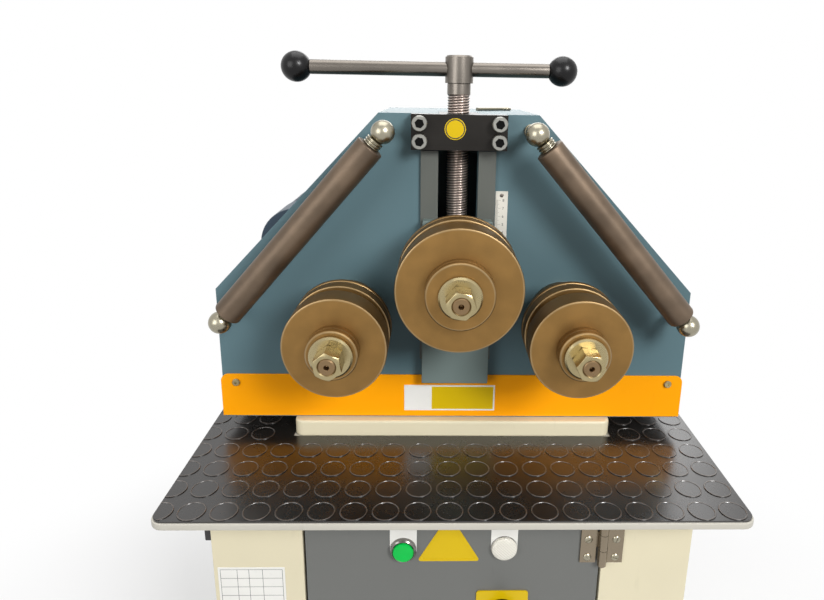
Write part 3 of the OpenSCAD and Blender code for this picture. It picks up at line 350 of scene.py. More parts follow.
def threaded(start, end, radius, centre, along, out):
    """A solid threaded bar: a turned bar whose skin is cut along a helix."""
    pitch = size("thread_pitch")
    depth = size("thread_depth")
    lead = pitch * bpy.context.scene.bender_sizes.thread_starts
    count = math.ceil((end - start) / pitch * THREAD_STEPS)
    places = [start + (end - start) * step / count for step in range(count + 1)]
    outline = [(start, 0), *((place, radius) for place in places), (end, 0)]
    obj = turned(outline, centre, along, out, THREAD_SIDES)
    centre = Vector(centre)
    side = along.cross(out)
    for vertex in obj.data.vertices:
        arm = vertex.co / MM - centre
        height = arm.dot(along)
        arm -= along * height
        if arm.length < radius / 2:
            continue
        turn = math.atan2(arm.dot(side), arm.dot(out)) / math.tau
        phase = (height - turn * lead) / pitch
        cut = depth * (0.5 - 0.5 * math.cos(math.tau * phase))
        vertex.co -= arm.normalized() * cut * MM
    return obj


def ribbed(obj, x, z, ribs, beyond, depth):
    """Presses in every second line of vertices beyond a radius about an axis along Y."""
    for vertex in obj.data.vertices:
        arm = Vector((vertex.co.x / MM - x, 0, vertex.co.z / MM - z))
        step = round(math.atan2(arm.z, arm.x) / math.tau * 2 * ribs)
        if arm.length > beyond and step % 2:
            vertex.co -= arm.normalized() * depth * MM
    return obj


def socket_screw(head, height, flats, shank, reach, x, top, z):
    """A knurled cap screw along Y, its head's face at top."""
    radius = head / 2
    knurl, chamfer, teeth = 0.25, 0.9, 40
    outline = [(top, 0), (top, radius - chamfer), (top + chamfer, radius), (top + height - chamfer, radius),
               (top + height, radius - chamfer / 2), (top + height, shank / 2), (top + reach, shank / 2),
               (top + reach, 0)]
    obj = turned(outline, (x, 0, z), steps=2 * teeth)
    ribbed(obj, x, z, teeth, radius - MERGE / MM, knurl)
    return carve(obj, hexagon(flats, top - height, top + height / 2, x, z, SOCKET_TURN))


def socket_floor(height, flats, x, top, z):
    """Near-black plug deep in a cap screw's socket: painted shade."""
    slack, sunk_share = 0.05, 0.12
    return hexagon(flats - slack, top + height * sunk_share, top + height / 2 - slack, x, z, SOCKET_TURN)


def slotted_screw(head, height, x, face, z, turn):
    """A slotted raised head on a face that looks towards -Y."""
    radius = head / 2
    slot_w, slot_reach, sides = 1, radius * 1.2, 32
    outline = [(face - height, 0), (face - height, radius * 0.45), (face - height * 0.75, radius * 0.8),
               (face - height * 0.3, radius), (face, radius), (face, 0)]
    obj = turned(outline, (x, 0, z), steps=sides)
    slot = block((-slot_reach, face - 2 * height, -slot_w / 2), (slot_reach, face - height / 2, slot_w / 2))
    spin = Matrix.Rotation(math.radians(turn), 4, "Y")
    slot.data.transform(Matrix.Translation(Vector((x, 0, z)) * MM) @ spin)
    return carve(obj, slot)


def settle(obj, name, body, slot, finish, *nodes):
    """Names a piece, gives it its finish and fixes it to its CAD body."""
    pick(obj)
    obj.name = name
    obj.data.name = name
    obj.data.materials.clear()
    obj.data.materials.append(FINISH[finish].material)
    bpy.ops.object.shade_smooth_by_angle(angle=SMOOTH)
    even = obj.modifiers.new("even_shading", "WEIGHTED_NORMAL")
    even.keep_sharp = True
    bpy.ops.object.modifier_apply(modifier=even.name)
    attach(obj, body)
    if nodes:
        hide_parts(*nodes)
    return obj


def cover(node, edge, name, body, slot, finish, segments=2):
    """Puts a rounded copy of a CAD node in that node's place."""
    settle(softened(node, edge, segments), name, body, slot, finish, node)


def dress(node, finish):
    """Gives a CAD node that stays a procedural finish."""
    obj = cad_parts[node]
    if not obj.material_slots:
        obj.data.materials.append(None)
    for entry in obj.material_slots:
        entry.material = FINISH[finish].material


def middle(node):
    """Middle of a CAD node, in millimetres."""
    low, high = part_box(node)
    return (low + high) / 2 / MM


def corners(node):
    """Lowest and highest corner of a CAD node, in millimetres."""
    low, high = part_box(node)
    return low / MM, high / MM


# Finishes


class Sock:
    """One output socket, so that shader maths reads as Python expressions."""

    def __init__(self, tree, socket):
        self.tree = tree
        self.socket = socket

    def maths(self, operation, first, second):
        node = self.tree.nodes.new("ShaderNodeMath")
        node.operation = operation
        for value, entry in zip((first, second), node.inputs):
            if isinstance(value, Sock):
                self.tree.links.new(value.socket, entry)
            else:
                entry.default_value = value
        return Sock(self.tree, node.outputs[0])

    def __add__(self, other):
        return self.maths("ADD", self, other)

    def __radd__(self, other):
        return self.maths("ADD", other, self)

    def __sub__(self, other):
        return self.maths("SUBTRACT", self, other)

    def __rsub__(self, other):
        return self.maths("SUBTRACT", other, self)

    def __mul__(self, other):
        return self.maths("MULTIPLY", self, other)

    def __pow__(self, other):
        return self.maths("POWER", self, other)


class Nodes:
    """A node tree that is emptied and filled again."""

    def __init__(self, tree):
        self.tree = tree
        tree.nodes.clear()

    def node(self, kind, settings=None, inputs=None, out=0):
        """Adds a node: its settings first, then the values or links of its sockets."""
        made = self.tree.nodes.new(kind)
        for key, value in (settings or {}).items():
            setattr(made, key, value)
        for key, value in (inputs or {}).items():
            if isinstance(value, Sock):
                self.tree.links.new(value.socket, made.inputs[key])
            else:
                made.inputs[key].default_value = value
        return Sock(self.tree, made.outputs[out])

    def shown(self):
        """1 for camera, glossy and transmission rays."""
        rays = self.tree.nodes.new("ShaderNodeLightPath")
        found = [Sock(self.tree, rays.outputs[name])
                 for name in ("Is Camera Ray", "Is Glossy Ray", "Is Transmission Ray")]
        total = found[0] + found[1] + found[2]
        return self.node("ShaderNodeMath", {"operation": "MINIMUM"}, {0: total, 1: 1.0})

    def end(self, shader, kind="ShaderNodeOutputMaterial"):
        """Ends the tree in a shader."""
        last = self.tree.nodes.new(kind)
        self.tree.links.new(shader.socket, last.inputs["Surface"])


class Finish(Nodes):
    """One procedural material."""

    def __init__(self, name):
        self.material = bpy.data.materials.new(name)
        self.material.use_nodes = True
        super().__init__(self.material.node_tree)
        self.place = self.node("ShaderNodeTexCoord", out="Object")

    def noise(self, scale, detail=3, at=None):
        """Cloudy noise from 0 to 1, its scale in features per metre."""
        return self.node("ShaderNodeTexNoise", None,
                         {"Vector": at or self.place, "Scale": scale, "Detail": detail})

    def streaks(self, across, detail=2, turn=(0, 0, 0)):
        """Noise with its own scale along each axis, in features per metre."""
        at = self.node("ShaderNodeMapping", None,
                       {"Vector": self.place, "Scale": across, "Rotation": turn})
        return self.noise(1, detail, at)

    def axes(self):
        """The three object coordinates."""
        split = self.tree.nodes.new("ShaderNodeSeparateXYZ")
        self.tree.links.new(self.place.socket, split.inputs[0])
        return [Sock(self.tree, entry) for entry in split.outputs]

    def arm(self, first, second):
        """Distance from an axis, of two coordinates across it."""
        return (first * first + second * second) ** 0.5

    def mix(self, factor, first, second):
        """Colour between two colours."""
        def full(colour):
            return colour if isinstance(colour, Sock) else (*colour, 1)
        return self.node("ShaderNodeMix", {"data_type": "RGBA"},
                         {0: factor, 6: full(first), 7: full(second)}, out=2)

    def band(self, value, low, high):
        """0 below low, 1 above high and smooth between them."""
        return self.node("ShaderNodeMapRange", {"interpolation_type": "SMOOTHSTEP"},
                         {"Value": value, "From Min": low, "From Max": high})

    def wave(self, value, pitch):
        """Sine of a coordinate, its pitch in millimetres."""
        return self.node("ShaderNodeMath", {"operation": "SINE"}, {0: value * (math.tau / (pitch * MM))})

    def surface(self, colour, rough, metal, height, depth, strength, **fixed):
        """Ends the material in one Principled shader with a bump."""
        inputs = {"Base Color": colour, "Roughness": rough, "Metallic": metal}
        inputs["Normal"] = self.node("ShaderNodeBump", None,
                                     {"Strength": strength, "Distance": depth * MM, "Height": height})
        for key, value in fixed.items():
            inputs[key.replace("_", " ")] = value
        self.end(self.node("ShaderNodeBsdfPrincipled", None, inputs))
        return self


def shade(colour, share):
    """A colour made lighter or darker."""
    return tuple(min(1, value * share) for value in colour)


def enamel(name, colour, rough, peel=0.12, patch=0.06, coat=0.15, dusty=0.1, sheen=0.4):
    """Sprayed paint: orange peel, faint patches, fine dust and a few scuffs."""
    made = Finish(name)
    patches = made.noise(scale=7, detail=4)
    dust = made.noise(scale=330, detail=2)
    peel_height = made.noise(scale=700, detail=1)
    scuff = made.streaks((60, 60, 14), detail=5, turn=(0.3, 0.2, 0.5))
    scuff = made.band(scuff, low=0.66, high=0.74)
    tone = made.mix(patches, shade(colour, 1 - patch), shade(colour, 1 + patch))
    tone = made.mix(made.band(dust, low=0.62, high=0.8) * dusty, tone, shade(colour, 1.35))
    tone = made.mix(scuff * 0.12, tone, shade(colour, 0.7))
    roughness = (dust - 0.5) * 0.12 + (patches - 0.5) * 0.1 + scuff * 0.1 + rough
    return made.surface(tone, roughness, 0, peel_height, depth=0.4, strength=peel,
                        Coat_Weight=coat, Coat_Roughness=0.25, Specular_IOR_Level=sheen)


def bare_steel(name, colour, rough, across, stain=0.14):
    """Machined steel: fine streaks along the cut, stains and a little oil."""
    made = Finish(name)
    streak = made.streaks(across)
    stains = made.noise(scale=34, detail=5)
    tone = made.mix(stains, shade(colour, 1 - stain), shade(colour, 1 + stain))
    tone = made.mix(streak * 0.35, tone, shade(colour, 0.72))
    roughness = rough + (streak - 0.5) * 0.22 + (stains - 0.5) * 0.16
    return made.surface(tone, roughness, 1, streak, depth=0.08, strength=0.3)


def thread_steel(name, colour, x, y, crest):
    """Oiled thread: crests in the plain colour over grooves darkened as painted shade."""
    made = Finish(name)
    across, depth, _ = made.axes()
    arm = made.arm(across - x * MM, depth - y * MM)
    # 1 on the crests, 0 down in the grooves, where the painted shade goes
    unshaded_crests = made.band(arm, low=(crest - size("thread_depth")) * MM, high=(crest - 0.3) * MM)
    stains = made.noise(scale=60, detail=4)
    grain = made.noise(scale=500, detail=2)
    tone = made.mix(stains, shade(colour, 0.75), shade(colour, 1.1))
    # Painted shade: the grooves darkened to about a seventh of the colour
    tone = made.mix(unshaded_crests, shade(colour, 0.14), tone)
    roughness = 0.4 + (stains - 0.5) * 0.16 + (grain - 0.5) * 0.14
    return made.surface(tone, roughness, 0.85, grain, depth=0.05, strength=0.3)


def turned_oxide(name, colour, rim, x, z, radius):
    """Brown-oxided turned disc: rings of the lathe tool, blotches, a bare worn edge that is also a painted
    highlight, and a flank painted dark as shade.
    """
    made = Finish(name)
    across, depth, up = made.axes()
    arm = made.arm(across - x * MM, up - z * MM)
    ring_height = made.wave(arm, pitch=1.1)
    groove_height = made.wave(depth, pitch=1.3)
    blotch = made.noise(scale=42, detail=5)
    smoke = made.noise(scale=11)
    grain = made.noise(scale=900, detail=2)
    tone = made.mix(made.band(blotch, low=0.3, high=0.75), shade(colour, 0.9), shade(colour, 1.08))
    tone = made.mix(made.band(smoke, low=0.5, high=0.78) * 0.25, tone, shade(colour, 0.7))
    tone = made.mix((ring_height * 0.5 + 0.5) * 0.1, tone, shade(colour, 1.3))
    # Flank: the turned outer face of the rim, where painted shade goes
    flank = made.band(arm, low=(radius - 0.7) * MM, high=(radius - 0.2) * MM)
    # Edge: worn bare metal next to the rim, which also serves as a painted highlight
    edge = made.band(arm, low=(radius - 2.8) * MM, high=(radius - 1.4) * MM) * (1 - flank)
    edge = edge * (made.noise(scale=120) * 0.5 + 0.2)
    tone = made.mix(edge, tone, rim)
    # Painted shade: the flank darkened to about two thirds
    tone = made.mix(flank * 0.7, tone, shade(colour, 0.66))
    roughness = 0.44 + (blotch - 0.5) * 0.2 + (grain - 0.5) * 0.12 - edge * 0.1
    height = ring_height * 0.5 + groove_height * 0.3 + grain * 0.6
    return made.surface(tone, roughness, 0.82, height, depth=0.05, strength=0.35)


def oxide_tube(name, colour):
    """Brown-oxided tube: rubbed places and scattered stains."""
    made = Finish(name)
    stains = made.noise(scale=26, detail=5)
    rubbed = made.band(made.noise(scale=9, detail=4), low=0.48, high=0.7)
    grain = made.noise(scale=650, detail=2)
    tone = made.mix(made.band(stains, low=0.3, high=0.72), shade(colour, 0.72), shade(colour, 1.12))
    tone = made.mix(rubbed * 0.3, tone, shade(colour, 1.45))
    roughness = 0.46 + (stains - 0.5) * 0.2 + (grain - 0.5) * 0.14
    return made.surface(tone, roughness, 0.6, grain, depth=0.06, strength=0.35)


def plated(name, colour, rough, warm=None):
    """Plating: soft clouding, fine scratches and a little tarnish."""
    made = Finish(name)
    cloud = made.noise(scale=30, detail=4)
    scratch = made.streaks((1700, 250, 1700), turn=(0.4, 0.1, 0.7))
    tone = made.mix(cloud, shade(colour, 0.86), shade(colour, 1.04))
    if warm:
        tone = made.mix(made.band(made.noise(scale=48), low=0.42, high=0.72) * 0.55, tone, warm)
    roughness = rough + (cloud - 0.5) * 0.1 + (scratch - 0.5) * 0.08
    return made.surface(tone, roughness, 1, scratch, depth=0.01, strength=0.07)


def moulded(name, colour, rough, coat=0.3, sheen=0.5):
    """Moulded plastic: slight mottling and a fine grain."""
    made = Finish(name)
    mottle = made.noise(scale=60)
    grain = made.noise(scale=800, detail=2)
    tone = made.mix(mottle, shade(colour, 0.86), shade(colour, 1.16))
    roughness = rough + (grain - 0.5) * 0.12 + (mottle - 0.5) * 0.08
    return made.surface(tone, roughness, 0, grain, depth=0.05, strength=0.2,
                        Coat_Weight=coat, Coat_Roughness=0.12, Specular_IOR_Level=sheen)


def rubber(name, colour):
    """Coin-stud rubber: bloom, dust in the low places, small scuffs and a painted highlight on the studs'
    rims.
    """
    made = Finish(name)
    bloom = made.noise(scale=13, detail=5)
    grit = made.noise(scale=420)
    scuff = made.band(made.streaks((30, 160, 60), detail=4, turn=(0, 0, 0.6)), low=0.6, high=0.72)
    up = made.axes()[2]
    raised = made.band(up, low=(MAT_Z - 0.6) * MM, high=(MAT_Z - 0.15) * MM)
    # Mask of the studs' rims, where the painted highlight goes
    rim = made.band(up, low=(MAT_Z - 0.3) * MM, high=(MAT_Z - 0.1) * MM)
    tone = made.mix(bloom, shade(colour, 0.75), shade(colour, 1.35))
    dust = (1 - raised) * made.band(grit, low=0.55, high=0.8)
    tone = made.mix(dust * 0.1, tone, shade(colour, 2.6))
    tone = made.mix(scuff * raised * 0.25, tone, shade(colour, 2.6))
    # Painted highlight: the rims lightened many times over, patchy with the bloom
    tone = made.mix(rim * bloom, tone, shade(colour, 13))
    roughness = 0.27 + (bloom - 0.5) * 0.14 + (grit - 0.5) * 0.04
    return made.surface(tone, roughness, 0, grit, depth=0.06, strength=0.12, Specular_IOR_Level=1)


def printed(name, colour):
    """Printed plate: a clean face with faint yellowing and handling marks."""
    made = Finish(name)
    aged = made.noise(scale=22, detail=4)
    marks = made.band(made.noise(scale=90, detail=5), low=0.6, high=0.8)
    tone = made.mix(aged, shade(colour, 0.94), shade(colour, 1.04))
    tone = made.mix(marks * 0.14, tone, shade(colour, 0.62))
    roughness = 0.4 + (aged - 0.5) * 0.16 + marks * 0.1
    return made.surface(tone, roughness, 0, marks, depth=0.04, strength=0.2, Specular_IOR_Level=0.3)


def lens_plastic(name, colour):
    """Milky lens with a crossed diamond grain."""
    made = Finish(name)
    across, _, up = made.axes()
    pitch = 3.8
    cross = made.wave(across, pitch) * made.wave(up, pitch)
    mottle = made.noise(scale=70)
    tone = made.mix(cross * 0.45 + mottle * 0.2 + 0.45, shade(colour, 0.66), shade(colour, 1.03))
    roughness = 0.24 + (mottle - 0.5) * 0.1
    return made.surface(tone, roughness, 0, cross, depth=0.4, strength=0.5)


FINISH = {}


def make_finishes():
    """Makes every finish of the part once."""
    tone = colours()
    FINISH.update(
        housing=enamel("housing_enamel", tone.housing, 0.46, coat=0.05, sheen=0.3),
        ram=enamel("ram_enamel", tone.ram, 0.46, coat=0.05, sheen=0.3),
        guard=enamel("guard_enamel", tone.guard, 0.4, patch=0.02, coat=0.03, dusty=0.03, sheen=0.2),
        cabinet=enamel("cabinet_powder", tone.cabinet, 0.46, peel=0.2),
        platform=enamel("platform_powder", tone.platform, 0.46, peel=0.2),
        door=enamel("door_powder", tone.door, 0.44, peel=0.2),
        motor=enamel("motor_enamel", tone.motor, 0.42, coat=0.05),
        anchor=enamel("anchor_paint", tone.floor_plate, 0.55, patch=0.14),
        rubber=rubber("mat_rubber", tone.rubber),
        roller=oxide_tube("roller_oxide", tone.roller),
        bar=bare_steel("bar_steel", tone.steel, 0.3, (30, 900, 900)),
        upright=bare_steel("upright_steel", tone.steel, 0.32, (900, 900, 24)),
        shaft=bare_steel("shaft_steel", tone.shaft, 0.32, (900, 30, 900)),
        strip=enamel("strip_paint", tone.strip, 0.42, sheen=0.3),
        block=bare_steel("blackened_steel", tone.block, 0.4, (40, 500, 500), stain=0.22),
        screw=bare_steel("screw_steel", tone.screw, 0.36, (300, 300, 300), stain=0.2),
        latch=bare_steel("latch_steel", shade(tone.block, 2.2), 0.36, (300, 300, 300), stain=0.2),
        chrome=plated("chrome_plate", tone.chrome, 0.28),
        hinge=plated("hinge_steel", tone.hinge, 0.24),
        zinc=plated("yellow_zinc", tone.zinc, 0.28, warm=shade(tone.zinc, 0.8)),
        knob=moulded("black_moulding", tone.knob, 0.3, coat=0.05, sheen=0.25),
        dark=moulded("dark_plastic", shade(tone.knob, 4), 0.45, coat=0.05),
        yellow=printed("yellow_plate", tone.yellow),
        paper=printed("white_plate", tone.paper),
        green=moulded("green_button", tone.green, 0.34, coat=0, sheen=0.25),
        lens=lens_plastic("milky_lens", tone.lens),
        scale=printed("scale_face", tone.scale),
        ring=plated("ring_plate", tone.ring, 0.2),
        ink=moulded("printing_ink", tone.ink, 0.5, coat=0),
        # Painted shade for the deep sockets of the cap screws
        socket=moulded("painted_socket_shade", tone.socket, 0.7, coat=0, sheen=0.1),
        grey=moulded("grey_housing_plastic", shade(tone.door, 1.4), 0.4, coat=0.1),
    )


class BENDER_OT_cabinet(bpy.types.Operator):
    """Builds the cabinet, its anchor plate, the platform, the pedestal and the side socket"""

    bl_idname = "bender.cabinet"
    bl_label = "Cabinet"

    def execute(self, context):
        sheet, shell_share = size("sheet_edge"), 0.6
        cover("cabinet_shell", sheet * shell_share, "cabinet_sheet", "frame", "cabinet_cream", "cabinet")
        cover("floor_plate", sheet, "anchor_plate", "frame", "floor_dark", "anchor")
        cover("platform_plate", sheet, "platform", "frame", "cabinet_cream", "platform")
        cover("pedestal_plate", 2 * sheet, "pedestal", "frame", "cabinet_cream", "cabinet", segments=3)
        self.inlet()
        self.label()
        return {"FINISHED"}

    def inlet(self):
        """Cable inlet with a round mouth."""
        low, high = corners("side_socket")
        edge, mouth_r, mouth_depth, mouth_edge, lead, sides = 1.2, 7, 4, 0.3, 2, 40
        centre = (low + high) / 2
        mouth = rod(low.x - lead, low.x + mouth_depth, mouth_r, mouth_edge)
        mouth = turned(mouth, (0, centre.y, centre.z), X, Y, sides)
        settle(carve(block(low, high, edge), mouth), "cable_inlet", "frame", "plastic_dark", "dark",
               "side_socket")

    def label(self):
        """Blank ruled plate on the left stile."""
        width, height, inset, drop = 80, 130, 5, 118
        thick, edge, margin = 0.8, 0.2, 3
        line, rise = 0.45, 0.05
        columns, rows = (0, 0.27, 0.46, 0.68, 1), 10
        left = corners("cabinet_shell")[0].x + inset
        top = MAT_Z - drop
        face = DOOR_Y - thick
        plate = block((left, face, top - height), (left + width, DOOR_Y, top), edge)
        settle(plate, "ruled_label", "frame", "plate_white", "paper", "stickers")
        bars = []
        for share in columns:
            x = left + margin + share * (width - 2 * margin)
            bars.append(block((x - line / 2, face - rise, top - height + margin),
                              (x + line / 2, face + rise, top - margin)))
        for row in range(rows + 1):
            z = top - margin - row / rows * (height - 2 * margin)
            bars.append(block((left + margin, face - rise, z - line / 2),
                              (left + width - margin, face + rise, z + line / 2)))
        settle(joined(bars), "label_rules", "frame", "plastic_dark", "ink")


class BENDER_OT_mat(bpy.types.Operator):
    """Builds the rubber mat and its coin studs"""

    bl_idname = "bender.mat"
    bl_label = "Mat"

    def execute(self, context):
        low, high = corners("rubber_mat")
        stud_h, corner, clear = 1, 13, 1
        base_top = high.z - stud_h
        sheet = self.rounded(low, (high.x, high.y, base_top), corner)
        ped_low, ped_high = corners("pedestal_plate")
        room = Vector((clear, clear, 0))
        carve(sheet, block(ped_low - room - Z, ped_high + room))
        settle(sheet, "mat_sheet", "frame", "mat_rubber", "rubber", "rubber_mat")
        self.studs(low, high, base_top, ped_low, ped_high)
        return {"FINISHED"}

    def studs(self, low, high, base_top, ped_low, ped_high):
        """One stud is modelled and copied over the grid. Studs past the mat's sides are trimmed."""
        pitch, row_pitch = size("stud_pitch"), size("stud_row")
        radius = size("stud_size") / 2
        rim, sunk = size("stud_rim"), size("stud_sunk")
        sink, edge, steps = 0.3, 0.35, 36
        border, sliver, room, over = 1, 4, 2, 2
        corner = 12.5
        middle_z = high.z - sunk
        outline = [(base_top - sink, 0), (base_top - sink, radius), (high.z - edge, radius),
                   (high.z, radius - edge), (high.z, radius - rim + edge), (middle_z, radius - rim),
                   (middle_z, 0)]
        pattern = turned(outline, (0, 0, 0), Z, X, steps)
        first = low.y + radius + STUD_MARGIN
        keep = radius + room
        reach = high.x - border + radius - sliver
        columns = math.ceil(reach / pitch)
        rows = int((high.y - radius - border - first) / row_pitch)
        studs, cut_studs = [], []
        for column in range(-columns, columns + 1):
            for row in range(rows + 1):
                x, y = column * pitch + STUD_SHIFT, first + row * row_pitch
                beside = abs(x) > ped_high.x + keep
                clear = beside or y < ped_low.y - keep or y > ped_high.y + keep
                if clear and abs(x) < reach:
                    inside = abs(x) + radius < high.x - STUD_MARGIN
                    (studs if inside else cut_studs).append(copied(pattern, (x, y, 0)))
        bpy.data.objects.remove(pattern)
        settle(joined(studs), "mat_studs", "frame", "mat_rubber", "rubber")
        if cut_studs:
            margin = Vector((STUD_MARGIN, STUD_MARGIN, -over))
            bottom = Vector((low.x, low.y, base_top))
            trim = self.rounded(bottom + margin, high - margin, corner)
            settle(carve(joined(cut_studs), trim, "INTERSECT"), "cut_mat_studs", "frame", "mat_rubber",
                   "rubber")

    def rounded(self, low, high, corner):
        """Block with rounded upright edges."""
        return close_up(bevelled(block(low, high), corner, segments=8, along=Z))


class BENDER_OT_housing(bpy.types.Operator):
    """Builds the housing plates, the guard, its screws and the blank notice"""

    bl_idname = "bender.housing"
    bl_label = "Housing"

    def execute(self, context):
        edge, guard_edge = size("plate_edge"), 0.5
        for node, name in (("front_plate", "housing_front"), ("back_plate", "housing_back"),
                           ("housing_skin", "housing_wrap")):
            cover(node, edge, name, "frame", "housing_blue", "housing")
        cover("front_guard", guard_edge, "guard_strip", "frame", "guard_orange", "guard")
        low, high = corners("guard_screws")
        head, head_h, flats, shank = 10.2, 3, 3.6, 6
        heads = [socket_screw(head, head_h, flats, shank, high.y - low.y, x, low.y, middle("guard_screws").z)
                 for x in (low.x + head / 2, high.x - head / 2)]
        settle(joined(heads), "guard_fixings", "frame", "zinc", "zinc", "guard_screws")
        self.notice()
        return {"FINISHED"}

    def notice(self):
        """Blank plate: a white border round a pale field and a yellow field."""
        width, height, border, pale_w = 119, 36.5, 2.2, 36
        centre_x, lift, thick, edge, rise = -5.5, 8.5, 0.8, 0.25, 0.06
        left = centre_x - width / 2
        right = left + width
        guard = corners("front_guard")[0]
        low_z = guard.z + lift
        face = guard.y - thick
        plate = block((left, face, low_z), (right, guard.y, low_z + height), edge)
        settle(plate, "notice_plate", "frame", "plate_white", "paper", "stickers")
        field = block((left + pale_w, face - rise, low_z + border),
                      (right - border, face + rise, low_z + height - border))
        settle(field, "notice_field", "frame", "plate_yellow", "yellow")


class BENDER_OT_slide(bpy.types.Operator):
    """Builds the nut block, its screws, the slide strips, the scale and the ram"""

    bl_idname = "bender.slide"
    bl_label = "Slide"

    def execute(self, context):
        cut = size("cut_edge")
        cover("nut_block", cut, "nut_housing", "frame", "dark_steel", "block")
        self.cap_screws()
        self.oil_mark()
        self.strips()
        self.scale()
        cover("ram_plate", size("plate_edge"), "sliding_plate", "ram", "housing_blue", "ram")
        cover("ram_block", cut, "guide_block", "ram", "dark_steel", "block")
        cover("thrust_cap", cut, "thrust_plate", "ram", "machined_steel", "strip")
        return {"FINISHED"}

    def cap_screws(self):
        """Four cap screws, with near-black plugs in their sockets as painted shade."""
        low, high = corners("nut_block_screws")
        head, head_h, flats, shank = 18, 12, 9.6, 12
        heads, socket_shades = [], []
        for x in (low.x + head / 2, high.x - head / 2):
            for z in (low.z + head / 2, high.z - head / 2):
                heads.append(socket_screw(head, head_h, flats, shank, high.y - low.y, x, low.y, z))
                # Near-black plugs in the sockets: painted shade
                socket_shades.append(socket_floor(head_h, flats, x, low.y, z))
        settle(joined(heads), "cap_screws", "frame", "dark_steel", "screw", "nut_block_screws")
        settle(joined(socket_shades), "cap_screw_socket_shade", "frame", "dark_steel", "socket")

    def oil_mark(self):
        """Blank yellow disc with a thin dark line near its rim."""
        face = corners("nut_block")[0].y
        shift = Vector((-5, 0, 4))
        centre = middle("nut_block") + shift
        centre.y = 0
        radius, thick, edge, steps = 12.3, 0.8, 0.2, 64
        line_front, line_back, line_edge = 0.86, 0.7, 0.06
        line_in, line_out = 2.2, 1
        disc = turned(rod(face - thick, face, radius, edge), centre, steps=steps)
        settle(disc, "oil_disc", "frame", "plate_yellow", "yellow", "stickers")
        line = ring(face - line_front, face - line_back, radius - line_in, radius - line_out, line_edge)
        settle(turned(line, centre, steps=steps), "oil_disc_line", "frame", "plastic_dark", "ink")

    def strips(self):
        """Two painted strips beside the slot."""
        low, high = corners("slide_strips")
        width, edge = 21, 0.5
        pair = [block(low, (low.x + width, high.y, high.z), edge),
                block((high.x - width, low.y, low.z), high, edge)]
        settle(joined(pair), "ground_strips", "frame", "machined_steel", "strip", "slide_strips")

    def scale(self):
        """Engraved scale with plain numbers."""
        low, high = corners("scale_plate")
        face_edge = 0.15
        cover("scale_plate", face_edge, "scale_strip", "frame", "machined_steel", "scale")
        head, head_h, inset, turn = 4.6, 1, 5, 25
        centre_x = (low.x + high.x) / 2
        pins = [slotted_screw(head, head_h, centre_x, low.y, z, turn)
                for z in (low.z + inset, high.z - inset)]
        settle(joined(pins), "scale_screws", "frame", "machined_steel", "upright")
        rise, line, margin, foot, count = 0.04, 0.22, 0.6, 10, 80
        long, half, short = 6, 4.4, 2.8
        figure_h, figure_x, figure_drop = 4.6, 8.4, 1.6
        start, left = low.z + foot, low.x + margin
        marks = []
        for step in range(count + 1):
            reach = long if step % 10 == 0 else half if step % 5 == 0 else short
            z = start + step
            marks.append(block((left, low.y - rise, z - line / 2),
                               (left + reach, low.y + rise, z + line / 2)))
        for number in range(count // 10 + 1):
            rest()
            bpy.ops.object.text_add(rotation=(math.pi / 2, 0, 0))
            text = bpy.context.object
            text.data.body = str(number)
            text.data.size = figure_h * MM
            text.data.extrude = rise * MM
            text.location = Vector((low.x + figure_x, low.y, start + 10 * number - figure_drop)) * MM
            pick(text)
            bpy.ops.object.convert(target="MESH")
            marks.append(close_up(fix_place(bpy.context.object)))
        settle(joined(marks), "scale_marks", "frame", "plastic_dark", "ink")


